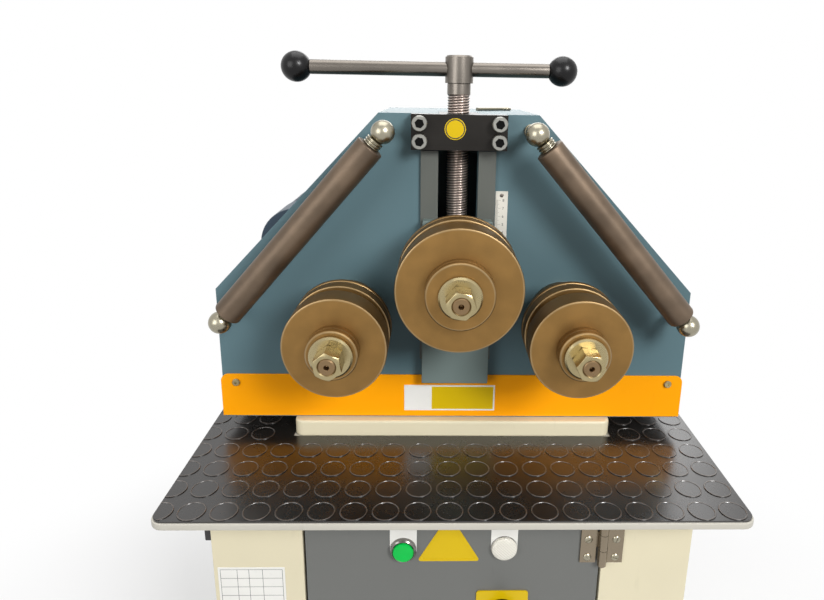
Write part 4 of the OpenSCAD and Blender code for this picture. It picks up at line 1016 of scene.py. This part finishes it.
class BENDER_OT_feed_screw(bpy.types.Operator):
    """Builds the adjusting screw, its head, the tommy bar and the ball knobs"""

    bl_idname = "bender.feed_screw"
    bl_label = "Feed screw"

    def execute(self, context):
        low, high = corners("spindle")
        axis = middle("spindle")
        centre = (axis.x, axis.y, 0)
        neck_h, spigot_h, spigot_r, neck_step = 14, 4, 9, 0.5
        thread_r, collar_r, collar_h = 13.75, 18, 11.4
        collar_edge, hub_edge, collar_lap, neck_lap = 0.6, 0.5, 1, 0.5
        neck_z = high.z - neck_h - spigot_h
        neck_r, neck_end = thread_r + neck_step, neck_z + neck_h
        foot = turned(rod(low.z, low.z + collar_h, collar_r, collar_edge), centre, Z, X)
        worm = threaded(low.z + collar_h - collar_lap, neck_z + neck_lap, thread_r, centre, Z, X)
        neck = turned([(neck_z, 0), (neck_z, neck_r - 1.5), (neck_z + 1, neck_r), (neck_end - 1, neck_r),
                       (neck_end, neck_r - 0.5), (neck_end, spigot_r), (high.z, spigot_r), (high.z, 0)],
                      centre, Z, X)
        FINISH["thread"] = thread_steel("thread_steel", colours().thread, axis.x, axis.y, thread_r)
        settle(worm, "screw_thread", "adjusting_screw", "machined_steel", "thread", "spindle")
        settle(foot, "screw_collar", "adjusting_screw", "machined_steel", "upright", "spindle")
        settle(neck, "screw_neck", "adjusting_screw", "machined_steel", "upright", "spindle")
        cover("screw_head", hub_edge, "screw_hub", "adjusting_screw", "machined_steel", "upright")
        self.bar()
        return {"FINISHED"}

    def bar(self):
        """Sliding bar with a ball knob screwed on each end."""
        low, high = corners("tommy_bar")
        axis = middle("tommy_bar")
        radius, tenon, reach, chamfer = 8.5, 5, 12, 1
        left, right = low.x + reach, high.x - reach
        outline = [(low.x, 0), (low.x, tenon), (left, tenon), (left, radius - chamfer),
                   (left + chamfer, radius), (right - chamfer, radius), (right, radius - chamfer),
                   (right, tenon), (high.x, tenon), (high.x, 0)]
        settle(turned(outline, (0, axis.y, axis.z), X, Z), "sliding_bar", "handle_bar", "machined_steel",
               "bar", "tommy_bar")
        knob_low, knob_high = corners("bar_knobs")
        ball = (knob_high.z - knob_low.z) / 2
        knobs = []
        for tip, sign in ((knob_low.x, 1), (knob_high.x, -1)):
            knobs.append(turned(self.knob_outline(ball), (tip + sign * ball, axis.y, axis.z), X * sign, Z))
        settle(joined(knobs), "ball_knobs", "handle_bar", "knob_black", "knob", "bar_knobs")

    def knob_outline(self, ball):
        """Ball with a flat, rounded seat towards the bar."""
        seat_angle, steps = 28, 28
        lip_w, lip_drop = 0.4, 0.7
        arc = []
        for step in range(steps + 1):
            angle = math.radians((180 - seat_angle) * step / steps)
            arc.append((-ball * math.cos(angle), ball * math.sin(angle)))
        seat = arc[-1]
        return [*arc, (seat[0] + lip_w, seat[1] - lip_drop), (seat[0] + lip_w, 0)]


class BENDER_OT_rolls(bpy.types.Operator):
    """Builds the three rolls: shafts, discs, collars, spacers, washers and nuts"""

    bl_idname = "bender.rolls"
    bl_label = "Rolls"

    def execute(self, context):
        for roll, turn in (("upper", 10), ("left", 22), ("right", 5)):
            self.roll(roll, turn)
        return {"FINISHED"}

    def roll(self, roll, turn):
        """One roll from its front end to its back end."""
        tone = colours()
        upper = roll == "upper"
        body, rings = roll + "_roll", roll + "_rings"
        low, high = corners(rings)
        axis = middle(roll + "_shaft")
        centre = (axis.x, 0, axis.z)
        radius = (high.x - low.x) / 2
        bore, spacer_r, groove = 17.6, 30, 26
        collar_r = 37 if upper else 28
        collar_w, disc_w, groove_w, rear_w = 17, 30.5, 12.5, 27
        slit, disc_steps = 0.05, 128
        spacer_gap = 20.1 if upper else 8.3
        line_at, mark_at = 9, 16.2
        groove_edge, spacer_edge = 0.4, 0.8
        groove_r = radius - groove
        edge = size("disc_edge")
        for name, size_r in (("_roll_oxide", radius), ("_collar_oxide", collar_r)):
            FINISH[roll + name] = turned_oxide(roll + name, tone.bronze, tone.rim, axis.x, axis.z, size_r)
        front = low.y
        disc_y = front + collar_w
        groove_y = disc_y + disc_w
        rear_y = groove_y + groove_w
        spacer_y = rear_y + rear_w
        spacer_end = FACE_Y - spacer_gap

        def part(name, outline, finish, steps=RING_STEPS):
            settle(turned(outline, centre, steps=steps), roll + name, body, "oxide_bronze", roll + finish,
                   rings)

        line = front + line_at
        collar = [(front, bore), (front, collar_r - 1.4), (front + 1.4, collar_r), (line - 1, collar_r),
                  (line - 0.7, collar_r - 1.5), (line + 0.7, collar_r - 1.5), (line + 1, collar_r),
                  (disc_y - 0.8, collar_r), (disc_y - slit, collar_r - 0.7), (disc_y - slit, bore),
                  (front, bore)]
        mark = rear_y + mark_at
        rear = [*ring(rear_y, mark, bore, radius, edge)[:4], (mark - 0.6, radius), (mark, radius - 0.6),
                (mark + 0.5, radius - 2), (mark + 2.5, radius - 2), (mark + 3, radius - 0.6),
                (mark + 3.6, radius), *ring(rear_y, spacer_y - slit, bore, radius, edge)[4:]]
        part("_collar", collar, "_collar_oxide")
        part("_front_disc", ring(disc_y, groove_y - slit, bore, radius, edge), "_roll_oxide", disc_steps)
        part("_groove_ring", ring(groove_y, rear_y - slit, bore, groove_r, groove_edge), "_collar_oxide")
        part("_rear_disc", rear, "_roll_oxide", disc_steps)
        part("_spacer", ring(spacer_y, spacer_end, bore, spacer_r, spacer_edge), "_collar_oxide")
        if upper:
            keeper_w, keeper_r, keeper_edge = 10, 24.5, 0.8
            keeper = turned(ring(high.y - keeper_w, high.y, bore, keeper_r, keeper_edge), centre)
            settle(keeper, "upper_keeper", body, "machined_steel", "shaft", rings)
        self.shaft(roll, body, centre, front)
        self.nut(roll, body, axis, front, turn)

    def shaft(self, roll, body, centre, front):
        """Shaft with a chamfered, centre-drilled end."""
        low, high = corners(roll + "_shaft")
        radius, stud, chamfer = 17.5, 9, 1.2
        mouth, hole, hole_depth = 3, 1.8, 6
        outline = [(low.y + hole_depth + 1.5, 0), (low.y + hole_depth, hole), (low.y + 1.6, hole),
                   (low.y, mouth), (low.y, stud - chamfer), (low.y + chamfer, stud), (front, stud),
                   (front, radius), (high.y - 1, radius), (high.y, radius - 1), (high.y, 0)]
        settle(turned(outline, centre), roll + "_roll_shaft", body, "machined_steel", "shaft",
               roll + "_shaft")

    def nut(self, roll, body, axis, front, turn):
        """Chamfered hexagon nut on a bevelled washer."""
        node = roll + "_nut"
        low = corners(node)[0].y
        flats, bore, flank, chamfer = 27, 9.1, 1.8, 0.8
        washer_t, washer_r, face_r, slit = 5.5, 23, 21, 0.05
        centre = (axis.x, 0, axis.z)
        back = front - washer_t - slit
        tip = flats / math.sqrt(3) + 0.1
        outline = [(low, bore + chamfer), (low, flats / 2 - 0.3), (low + flank, tip), (back - flank, tip),
                   (back, flats / 2), (back, bore), (low + chamfer, bore), (low, bore + chamfer)]
        nut = hexagon(flats, low - 1, back + 1, axis.x, axis.z, turn)
        nut = carve(nut, turned(outline, centre), "INTERSECT")
        settle(nut, roll + "_hex_nut", body, "zinc", "zinc", node)
        washer = [(back + slit, bore), (back + slit, face_r), (back + 2.1, washer_r), (front - 0.9, washer_r),
                  (front - slit, washer_r - 0.8), (front - slit, bore), (back + slit, bore)]
        settle(turned(washer, centre), roll + "_washer", body, "zinc", "zinc", node)


class BENDER_OT_guides(bpy.types.Operator):
    """Builds the ball posts, the ridged axles and the guide rollers"""

    bl_idname = "bender.guides"
    bl_label = "Guide rollers"

    def execute(self, context):
        ball, cut, stand = 13.3, 1.6, 50
        flat = ball - cut
        top_x, top_z, low_x, low_z = 85.5, 396, 279, 171.5
        depth = FACE_Y - stand
        for side, sign in (("left", -1), ("right", 1)):
            top = Vector((sign * top_x, depth, MAT_Z + top_z))
            foot = Vector((sign * low_x, depth, MAT_Z + low_z))
            span = (foot - top).length
            down = (foot - top).normalized()
            self.ball(side + "_upper", top, down, ball, flat)
            self.ball(side + "_lower", foot, -down, ball, flat)
            self.axle(side, top, down, span, flat)
            self.roller(side, top, down, span, flat)
        return {"FINISHED"}

    def ball(self, name, place, inward, ball, flat):
        """Ball with a flat towards the roller, and its post to the housing."""
        steps, sides, post_sides = 26, 72, 56
        stop = math.acos(-flat / ball)
        angles = [stop * step / steps for step in range(steps + 1)]
        arc = [(-ball * math.cos(angle), ball * math.sin(angle)) for angle in angles]
        settle(turned([*arc, (flat, 0)], place, inward, -Y, sides), name + "_ball", "frame", "chrome",
               "chrome", "guide_posts")
        post, foot, foot_t, edge, sunk = 7, 8.5, 3, 0.6, 2
        foot_y, tip = FACE_Y - foot_t, place.y + sunk
        outline = [(tip, 0), (tip, post), (foot_y, post), (foot_y, foot - edge), (foot_y + edge, foot),
                   (FACE_Y, foot), (FACE_Y, 0)]
        settle(turned(outline, (place.x, 0, place.z), steps=post_sides), name + "_post", "frame", "chrome",
               "chrome", "guide_posts")

    def axle(self, side, top, down, span, flat):
        """Axle with three rounded ridges at its upper neck and a thin collar at its lower one."""
        core, tip, ridge, sunk, sides = 6, 4, 10.5, 6, 48
        ridges, width, gap, collar = 3, 2.5, 0.625, 2
        outline = [(flat - sunk, 0), (flat - sunk, tip), (flat, tip)]
        for step in range(ridges):
            start = flat + step * (width + gap)
            stop = start + width
            outline += [(start, ridge - 2), (start + 0.3, ridge - 0.7), (start + 0.9, ridge),
                        (stop - 0.9, ridge), (stop - 0.3, ridge - 0.7), (stop, ridge - 2)]
        end = span - flat
        low = end - collar
        outline += [(stop, core), (low, core), (low, ridge - 1), (low + 0.4, ridge), (end - 0.4, ridge),
                    (end, ridge - 1), (end, tip), (end + sunk, tip), (end + sunk, 0)]
        settle(turned(outline, top, down, -Y, sides), side + "_ridged_axle", "frame", "machined_steel",
               "chrome", "guide_axles")

    def roller(self, side, top, down, span, flat):
        """Long brown tube with rounded ends."""
        slack, neck, collar = 0.3, 8.75, 2
        radius, bore, edge, steps, sides = 16.5, 6.05, 2, 40, 72
        start = flat + neck + slack
        end = span - flat - collar - slack
        outline = ring(start, end, bore, radius, edge)
        straight = end - start - 2 * edge
        outline[4:4] = [(start + edge + straight * step / steps, radius) for step in range(1, steps)]
        settle(turned(outline, top, down, -Y, sides), side + "_guide_tube", side + "_guide", "roller_brown",
               "roller", side + "_guide_roller")


class BENDER_OT_drive(bpy.types.Operator):
    """Builds the bearings, the gearbox, the motor and the gears"""

    bl_idname = "bender.drive"
    bl_label = "Drive"

    def execute(self, context):
        cut = size("cut_edge")
        cover("shaft_bearings", cut, "bearing_flanges", "frame", "machined_steel", "shaft")
        for node, edge, name in (("gearbox", 1.2, "gear_case"), ("motor", 0.5, "motor_can"),
                                 ("fan_cover", 0.7, "fan_cowl")):
            cover(node, edge, name, "frame", "motor_blue", "motor")
        box_edge = 2
        cover("terminal_box", box_edge, "terminal_case", "frame", "plastic_dark", "dark")
        cover("idler_stud", cut, "idler_post", "frame", "machined_steel", "shaft")
        for node in ("left_gear", "right_gear", "idler_gear", "motor_pinion"):
            dress(node, "shaft")
        cover("split_pin", 0, "cotter", "frame", "machined_steel", "chrome")
        self.lid_screws()
        return {"FINISHED"}

    def lid_screws(self):
        """Screws of the terminal box lid."""
        low, high = corners("terminal_box")
        inset, radius, edge, sides = 7, 3, 0.6, 32
        depth, rim_depth, face_depth = 1, 0.4, 0.05
        back, rim, face = high.x - depth, high.x - rim_depth, high.x - face_depth
        outline = [(back, 0), (back, radius), (rim, radius), (face, radius - edge), (face, 0)]
        heads = [turned(outline, (0, y, z), X, Y, sides) for y in (low.y + inset, high.y - inset)
                 for z in (low.z + inset, high.z - inset)]
        settle(joined(heads), "terminal_screws", "frame", "zinc", "zinc")


class BENDER_OT_door(bpy.types.Operator):
    """Builds the door, its hinges, its controls and the control gear behind it"""

    bl_idname = "bender.door"
    bl_label = "Door"

    def execute(self, context):
        tray_edge, latch_edge, board_edge = 0.9, 0.8, 1.2
        cover("door_panel", tray_edge, "door_tray", "door", "door_grey", "door")
        self.hinges()
        self.plates()
        self.controls()
        self.switch()
        cover("door_latch", latch_edge, "latch_knob", "latch", "dark_steel", "latch")
        cover("control_gear", board_edge, "relay_board", "frame", "zinc", "grey")
        return {"FINISHED"}

    def hinges(self):
        """Two butt hinges with slotted screws and domed pins."""
        low, high = corners("hinge_fixed_leaves")
        knuckle_r, pin_r, leaf_t, leaf_w, leaf_h = 5.5, 3, 2.5, 26, 66
        pin_out, slack, leaf_edge, web_edge, knuckle_edge = 3, 0.3, 0.5, 0.3, 0.5
        screw, screw_h, screw_share, screw_turn, sunk = 9.4, 2, 0.65, 40, 0.1
        stand, gap, lap, web_gap, fit, dome = 0.5, 1, 2, 0.2, 0.05, 1.2
        sides, pin_sides = 48, 40
        axis_x = high.x - leaf_w
        axis = (axis_x, DOOR_Y - knuckle_r - stand, 0)
        front = DOOR_Y - leaf_t
        third = leaf_h / 3
        fixed, swinging, fixed_screws, door_screws = [], [], [], []
        for foot in (low.z + pin_out, high.z - pin_out - leaf_h):
            head = foot + leaf_h
            fixed.append(block((axis_x + knuckle_r + gap, front, foot), (high.x, DOOR_Y, head), leaf_edge))
            swinging.append(block((axis_x - leaf_w, front, foot), (axis_x - knuckle_r - gap, DOOR_Y, head),
                                  leaf_edge))
            for z in (foot, foot + 2 * third):
                fixed.append(block((axis_x, front, z), (axis_x + knuckle_r + lap, DOOR_Y, z + third),
                                   web_edge))
                fixed.append(turned(rod(z, z + third, knuckle_r, knuckle_edge), axis, Z, X, sides))
            z, stop = foot + third + slack, foot + 2 * third - slack
            swinging.append(block((axis_x - knuckle_r - lap, front, z), (axis_x - web_gap, DOOR_Y, stop),
                                  web_edge))
            swinging.append(turned(ring(z, stop, pin_r + fit, knuckle_r, knuckle_edge), axis, Z, X, sides))
            fixed.append(turned(rod(foot - pin_out, head + pin_out, pin_r, dome), axis, Z, X, pin_sides))
            for share, turn in ((0.12, 20), (0.5, 110), (0.88, 65)):
                z, off = foot + share * leaf_h, screw_share * leaf_w
                fixed_screws.append(slotted_screw(screw, screw_h, axis_x + off, front + sunk, z, turn))
                door_screws.append(slotted_screw(screw, screw_h, axis_x - off, front + sunk, z,
                                                 turn + screw_turn))
        settle(joined(fixed), "hinge_cabinet_side", "frame", "chrome", "hinge", "hinge_fixed_leaves")
        settle(joined(swinging), "hinge_door_side", "door", "chrome", "hinge", "hinge_door_leaves")
        settle(joined(fixed_screws), "hinge_cabinet_screws", "frame", "chrome", "chrome")
        settle(joined(door_screws), "hinge_door_screws", "door", "chrome", "chrome")

    def plates(self):
        """White legend plates and the blank yellow triangle with its raised rim."""
        low, high = corners("door_plates")
        radius, bore, legend_rise, steps = 16, 11, 30, 24
        over, hole_edge, sides = 2, 0.1, 48
        button_z = middle("button_cap").z
        top = button_z + legend_rise
        pair = []
        for x, z in ((low.x + radius, button_z), (high.x - radius, middle("pilot_lens").z)):
            outline = [(x + radius, low.y, top), (x - radius, low.y, top)]
            for step in range(steps + 1):
                angle = math.pi * (1 + step / steps)
                outline.append((x + radius * math.cos(angle), low.y, z + radius * math.sin(angle)))
            hole = turned(rod(low.y - over, DOOR_Y + over, bore, hole_edge), (x, 0, z), steps=sides)
            pair.append(carve(prism(outline, Y, DOOR_Y - low.y), hole))
        settle(joined(pair), "legend_plates", "door", "plate_white", "paper", "door_plates")
        sign_w, centre_x, thick = 76, -6, 0.5
        rim, corner, rise = 3, 5, 0.3
        outer, face = rim * 0.4, DOOR_Y - thick
        sign = self.triangle(centre_x, low.z, sign_w, corner, face, thick)
        settle(sign, "blank_triangle", "door", "plate_yellow", "yellow", "door_plates")
        frame_out = self.triangle(centre_x, low.z + outer, sign_w - 4 * outer, corner, face - rise, thick)
        frame_in = self.triangle(centre_x, low.z + rim, sign_w - 4 * rim, corner * 0.6, DOOR_Y - over,
                                 2 * over)
        settle(carve(frame_out, frame_in), "triangle_rim", "door", "plate_yellow", "yellow")

    def triangle(self, x, z, side, corner, face, depth):
        """Upright triangle with rounded corners."""
        height = side * math.sin(math.radians(60))
        shape = prism([(x - side / 2, face, z), (x + side / 2, face, z), (x, face, z + height)], Y, depth)
        return close_up(bevelled(shape, corner, segments=6, along=Y))

    def controls(self):
        """Plated bezels, the green push button and the ribbed lamp lens."""
        low, high = corners("control_bezels")
        bezel_r, barrel_r, recess_r, bore, steps = 15.5, 11, 13.3, 9.05, 64
        plate_t, barrel_t, recess_h, ring_h = 0.8, 9, 1, 1.5
        plate_y = DOOR_Y - plate_t
        floor_y = high.y - barrel_t
        recess_y, ring_y = plate_y - recess_h, plate_y - ring_h
        button_z, lamp_z = middle("button_cap").z, middle("pilot_lens").z
        tail = [(plate_y, bezel_r), (plate_y, barrel_r), (high.y, barrel_r), (high.y, 0)]
        cup = [(floor_y, 0), (floor_y, bore), (recess_y, bore), (recess_y, recess_r), (low.y + 0.4, recess_r),
               (low.y, recess_r + 0.4), (low.y, bezel_r - 1.2), (low.y + 1.2, bezel_r), *tail]
        low_ring = [(floor_y, 0), (floor_y, bore), (ring_y, bore), (ring_y, bezel_r - 0.5),
                    (ring_y + 0.5, bezel_r), *tail]
        bezels = [turned(cup, (low.x + bezel_r, 0, button_z), steps=steps),
                  turned(low_ring, (high.x - bezel_r, 0, lamp_z), steps=steps)]
        settle(joined(bezels), "control_rings", "door", "chrome", "ring", "control_bezels")
        front, end = (corner.y for corner in corners("button_cap"))
        face_r, stem_r, back = 12.4, 9, front + 3
        cap = [(front + 0.5, 0), (front + 0.3, 6), (front, 10.1), (front + 0.3, 11.7), (front + 1.2, face_r),
               (back, face_r), (back, stem_r), (end, stem_r), (end, 0)]
        settle(turned(cap, (middle("button_cap").x, 0, button_z), steps=steps), "green_push_cap",
               "push_button", "button_green", "green", "button_cap")
        self.lens(lamp_z)

    def lens(self, z):
        """Lens with a ribbed rim and a low crown."""
        low, high = corners("pilot_lens")
        x = middle("pilot_lens").x
        radius, stem, ribs, rib_depth, near = 15.5, 9, 36, 0.7, 0.1
        back = low.y + 5
        outline = [(low.y, 0), (low.y + 0.3, radius - 7), (low.y + 0.8, radius - 3),
                   (low.y + 1.6, radius - 1), (low.y + 2.4, radius), (back, radius), (back, stem),
                   (high.y, stem), (high.y, 0)]
        lens = ribbed(turned(outline, (x, 0, z), steps=2 * ribs), x, z, ribs, radius - near, rib_depth)
        settle(lens, "lamp_lens", "door", "lens_white", "lens", "pilot_lens")

    def switch(self):
        """Yellow plate and the black turning grip of the main switch."""
        plate_edge, plate_t, sides = 0.5, 2.3, 72
        cover("switch_plate", plate_edge, "switch_face", "door", "plate_yellow", "yellow")
        low, high = corners("switch_knob")
        axis = middle("switch_knob")
        base, shaft, base_t, grip_w, grip_edge = 21, 6, 8, 12, 2.4
        face = DOOR_Y - plate_t
        front = face - base_t
        outline = [(front, 0), (front, base - 4), (front + 1.6, base - 1), (face - 2, base), (face, base),
                   (face, shaft), (high.y, shaft), (high.y, 0)]
        dial = turned(outline, (axis.x, 0, axis.z), steps=sides)
        grip = block((axis.x - grip_w / 2, low.y, low.z), (axis.x + grip_w / 2, front + 1, high.z),
                     grip_edge, 3)
        settle(joined([dial, grip]), "switch_grip", "main_switch", "knob_black", "knob", "switch_knob")


# Camera values fitted to the picture's frame of 824 by 600
PICTURE_W, PICTURE_H = 824, 600
FOCAL_PX = 609.6
CENTRE_PX = (453.7, 240)
CAMERA_MM = (-25.2, -729.7, 446.1)
PITCH, YAW, ROLL = (math.radians(angle) for angle in (14.132, 1.677, 1.072))
SENSOR = 36
CLIP_START = 0.01

# Soft boxes: name, place in metres, side in metres and power in watts
LAMPS = (
    ("key", (1.5, -2.6, 2.6), 1.0, 92),
    ("fill", (-1.9, -2.4, 1.9), 1.8, 36),
    ("top", (0, 0.2, 3.6), 2.2, 36),
    ("back", (0.5, 2.8, 2.2), 2.4, 40),
)
AMBIENT = 0.32
WHITE = (1, 1, 1, 1)
PALE = (0.86, 0.86, 0.86, 1)


class BENDER_OT_stage(bpy.types.Operator):
    """Builds the floor, the studio lamps, the world and the camera"""

    bl_idname = "bender.stage"
    bl_label = "Stage"

    def execute(self, context):
        self.floor()
        self.world(context.scene)
        for lamp in LAMPS:
            self.lamp(*lamp)
        self.camera(context.scene)
        return {"FINISHED"}

    def floor(self):
        """Pale floor that keeps the part's shadow and turns plain white further out."""
        side, near, far = 16, 0.75, 1.5
        rest()
        bpy.ops.mesh.primitive_plane_add(size=side, location=(0, 0, 0))
        plane = bpy.context.object
        plane.name = "studio_floor"
        made = Finish("studio_floor")
        across, depth, _ = made.axes()
        away = made.band(made.arm(across, depth), near, far)
        pale = made.node("ShaderNodeBsdfDiffuse", None, {"Color": PALE})
        glow = made.node("ShaderNodeEmission", None, {"Color": WHITE, "Strength": made.shown()})
        made.end(made.node("ShaderNodeMixShader", None, {0: away, 1: pale, 2: glow}))
        plane.data.materials.append(made.material)

    def world(self, scene):
        """White surroundings: plain white where seen or mirrored, softer as light."""
        scene.world = bpy.data.worlds.new("studio")
        scene.world.use_nodes = True
        made = Nodes(scene.world.node_tree)
        strength = made.shown() * (1 - AMBIENT) + AMBIENT
        light = made.node("ShaderNodeBackground", None, {"Color": WHITE, "Strength": strength})
        made.end(light, "ShaderNodeOutputWorld")

    def lamp(self, name, place, side, power):
        """Square soft box that looks at the housing."""
        data = bpy.data.lights.new(name, "AREA")
        data.energy = power
        data.size = side
        lamp = bpy.data.objects.new(name, data)
        bpy.context.scene.collection.objects.link(lamp)
        lamp.location = place
        aim = Vector((0, 0, MAT_Z * MM)) - Vector(place)
        lamp.rotation_mode = "QUATERNION"
        lamp.rotation_quaternion = aim.to_track_quat("-Z", "Y")

    def camera(self, scene):
        """Camera at the picture's place and angle."""
        data = bpy.data.cameras.new("camera")
        data.sensor_fit = "HORIZONTAL"
        data.sensor_width = SENSOR
        data.lens = FOCAL_PX / PICTURE_W * SENSOR
        data.shift_x = (PICTURE_W / 2 - CENTRE_PX[0]) / PICTURE_W
        data.shift_y = (CENTRE_PX[1] - PICTURE_H / 2) / PICTURE_W
        data.clip_start = CLIP_START
        camera = bpy.data.objects.new("camera", data)
        scene.collection.objects.link(camera)
        look = Vector((math.sin(YAW) * math.cos(PITCH), math.cos(YAW) * math.cos(PITCH), -math.sin(PITCH)))
        right = Vector((math.cos(YAW), -math.sin(YAW), 0))
        up = right.cross(look)
        tilted = right * math.cos(ROLL) + up * math.sin(ROLL)
        upright = up * math.cos(ROLL) - right * math.sin(ROLL)
        place = (Vector(CAMERA_MM) + Vector((0, FACE_Y, MAT_Z))) * MM
        matrix = Matrix((tilted, upright, -look)).transposed().to_4x4()
        matrix.translation = place
        camera.matrix_world = matrix
        scene.camera = camera
        scene.view_settings.view_transform = "Standard"


class BENDER_PT_panel(bpy.types.Panel):
    """Lists the pieces, colours and sizes of the bender"""

    bl_idname = "BENDER_PT_panel"
    bl_label = "Angle Roll Bender"
    bl_space_type = "VIEW_3D"
    bl_region_type = "UI"
    bl_category = "Bender"

    def draw(self, context):
        for maker in OPERATORS:
            self.layout.operator(maker.bl_idname)
        for group in (context.scene.bender_colours, context.scene.bender_sizes):
            for name in group.__annotations__:
                self.layout.prop(group, name)


OPERATORS = (
    BENDER_OT_cabinet,
    BENDER_OT_mat,
    BENDER_OT_housing,
    BENDER_OT_slide,
    BENDER_OT_feed_screw,
    BENDER_OT_rolls,
    BENDER_OT_guides,
    BENDER_OT_drive,
    BENDER_OT_door,
    BENDER_OT_stage,
)
CLASSES = (BenderColours, BenderSizes, *OPERATORS, BENDER_PT_panel)


def register():
    for kind in CLASSES:
        bpy.utils.register_class(kind)
    bpy.types.Scene.bender_colours = PointerProperty(type=BenderColours)
    bpy.types.Scene.bender_sizes = PointerProperty(type=BenderSizes)


def unregister():
    del bpy.types.Scene.bender_sizes
    del bpy.types.Scene.bender_colours
    for kind in reversed(CLASSES):
        bpy.utils.unregister_class(kind)


def main():
    """Builds every piece in order."""
    register()
    make_finishes()
    bpy.ops.bender.cabinet()
    bpy.ops.bender.mat()
    bpy.ops.bender.housing()
    bpy.ops.bender.slide()
    bpy.ops.bender.feed_screw()
    bpy.ops.bender.rolls()
    bpy.ops.bender.guides()
    bpy.ops.bender.drive()
    bpy.ops.bender.door()
    bpy.ops.bender.stage()
    rest()


if __name__ == "__main__":
    main()
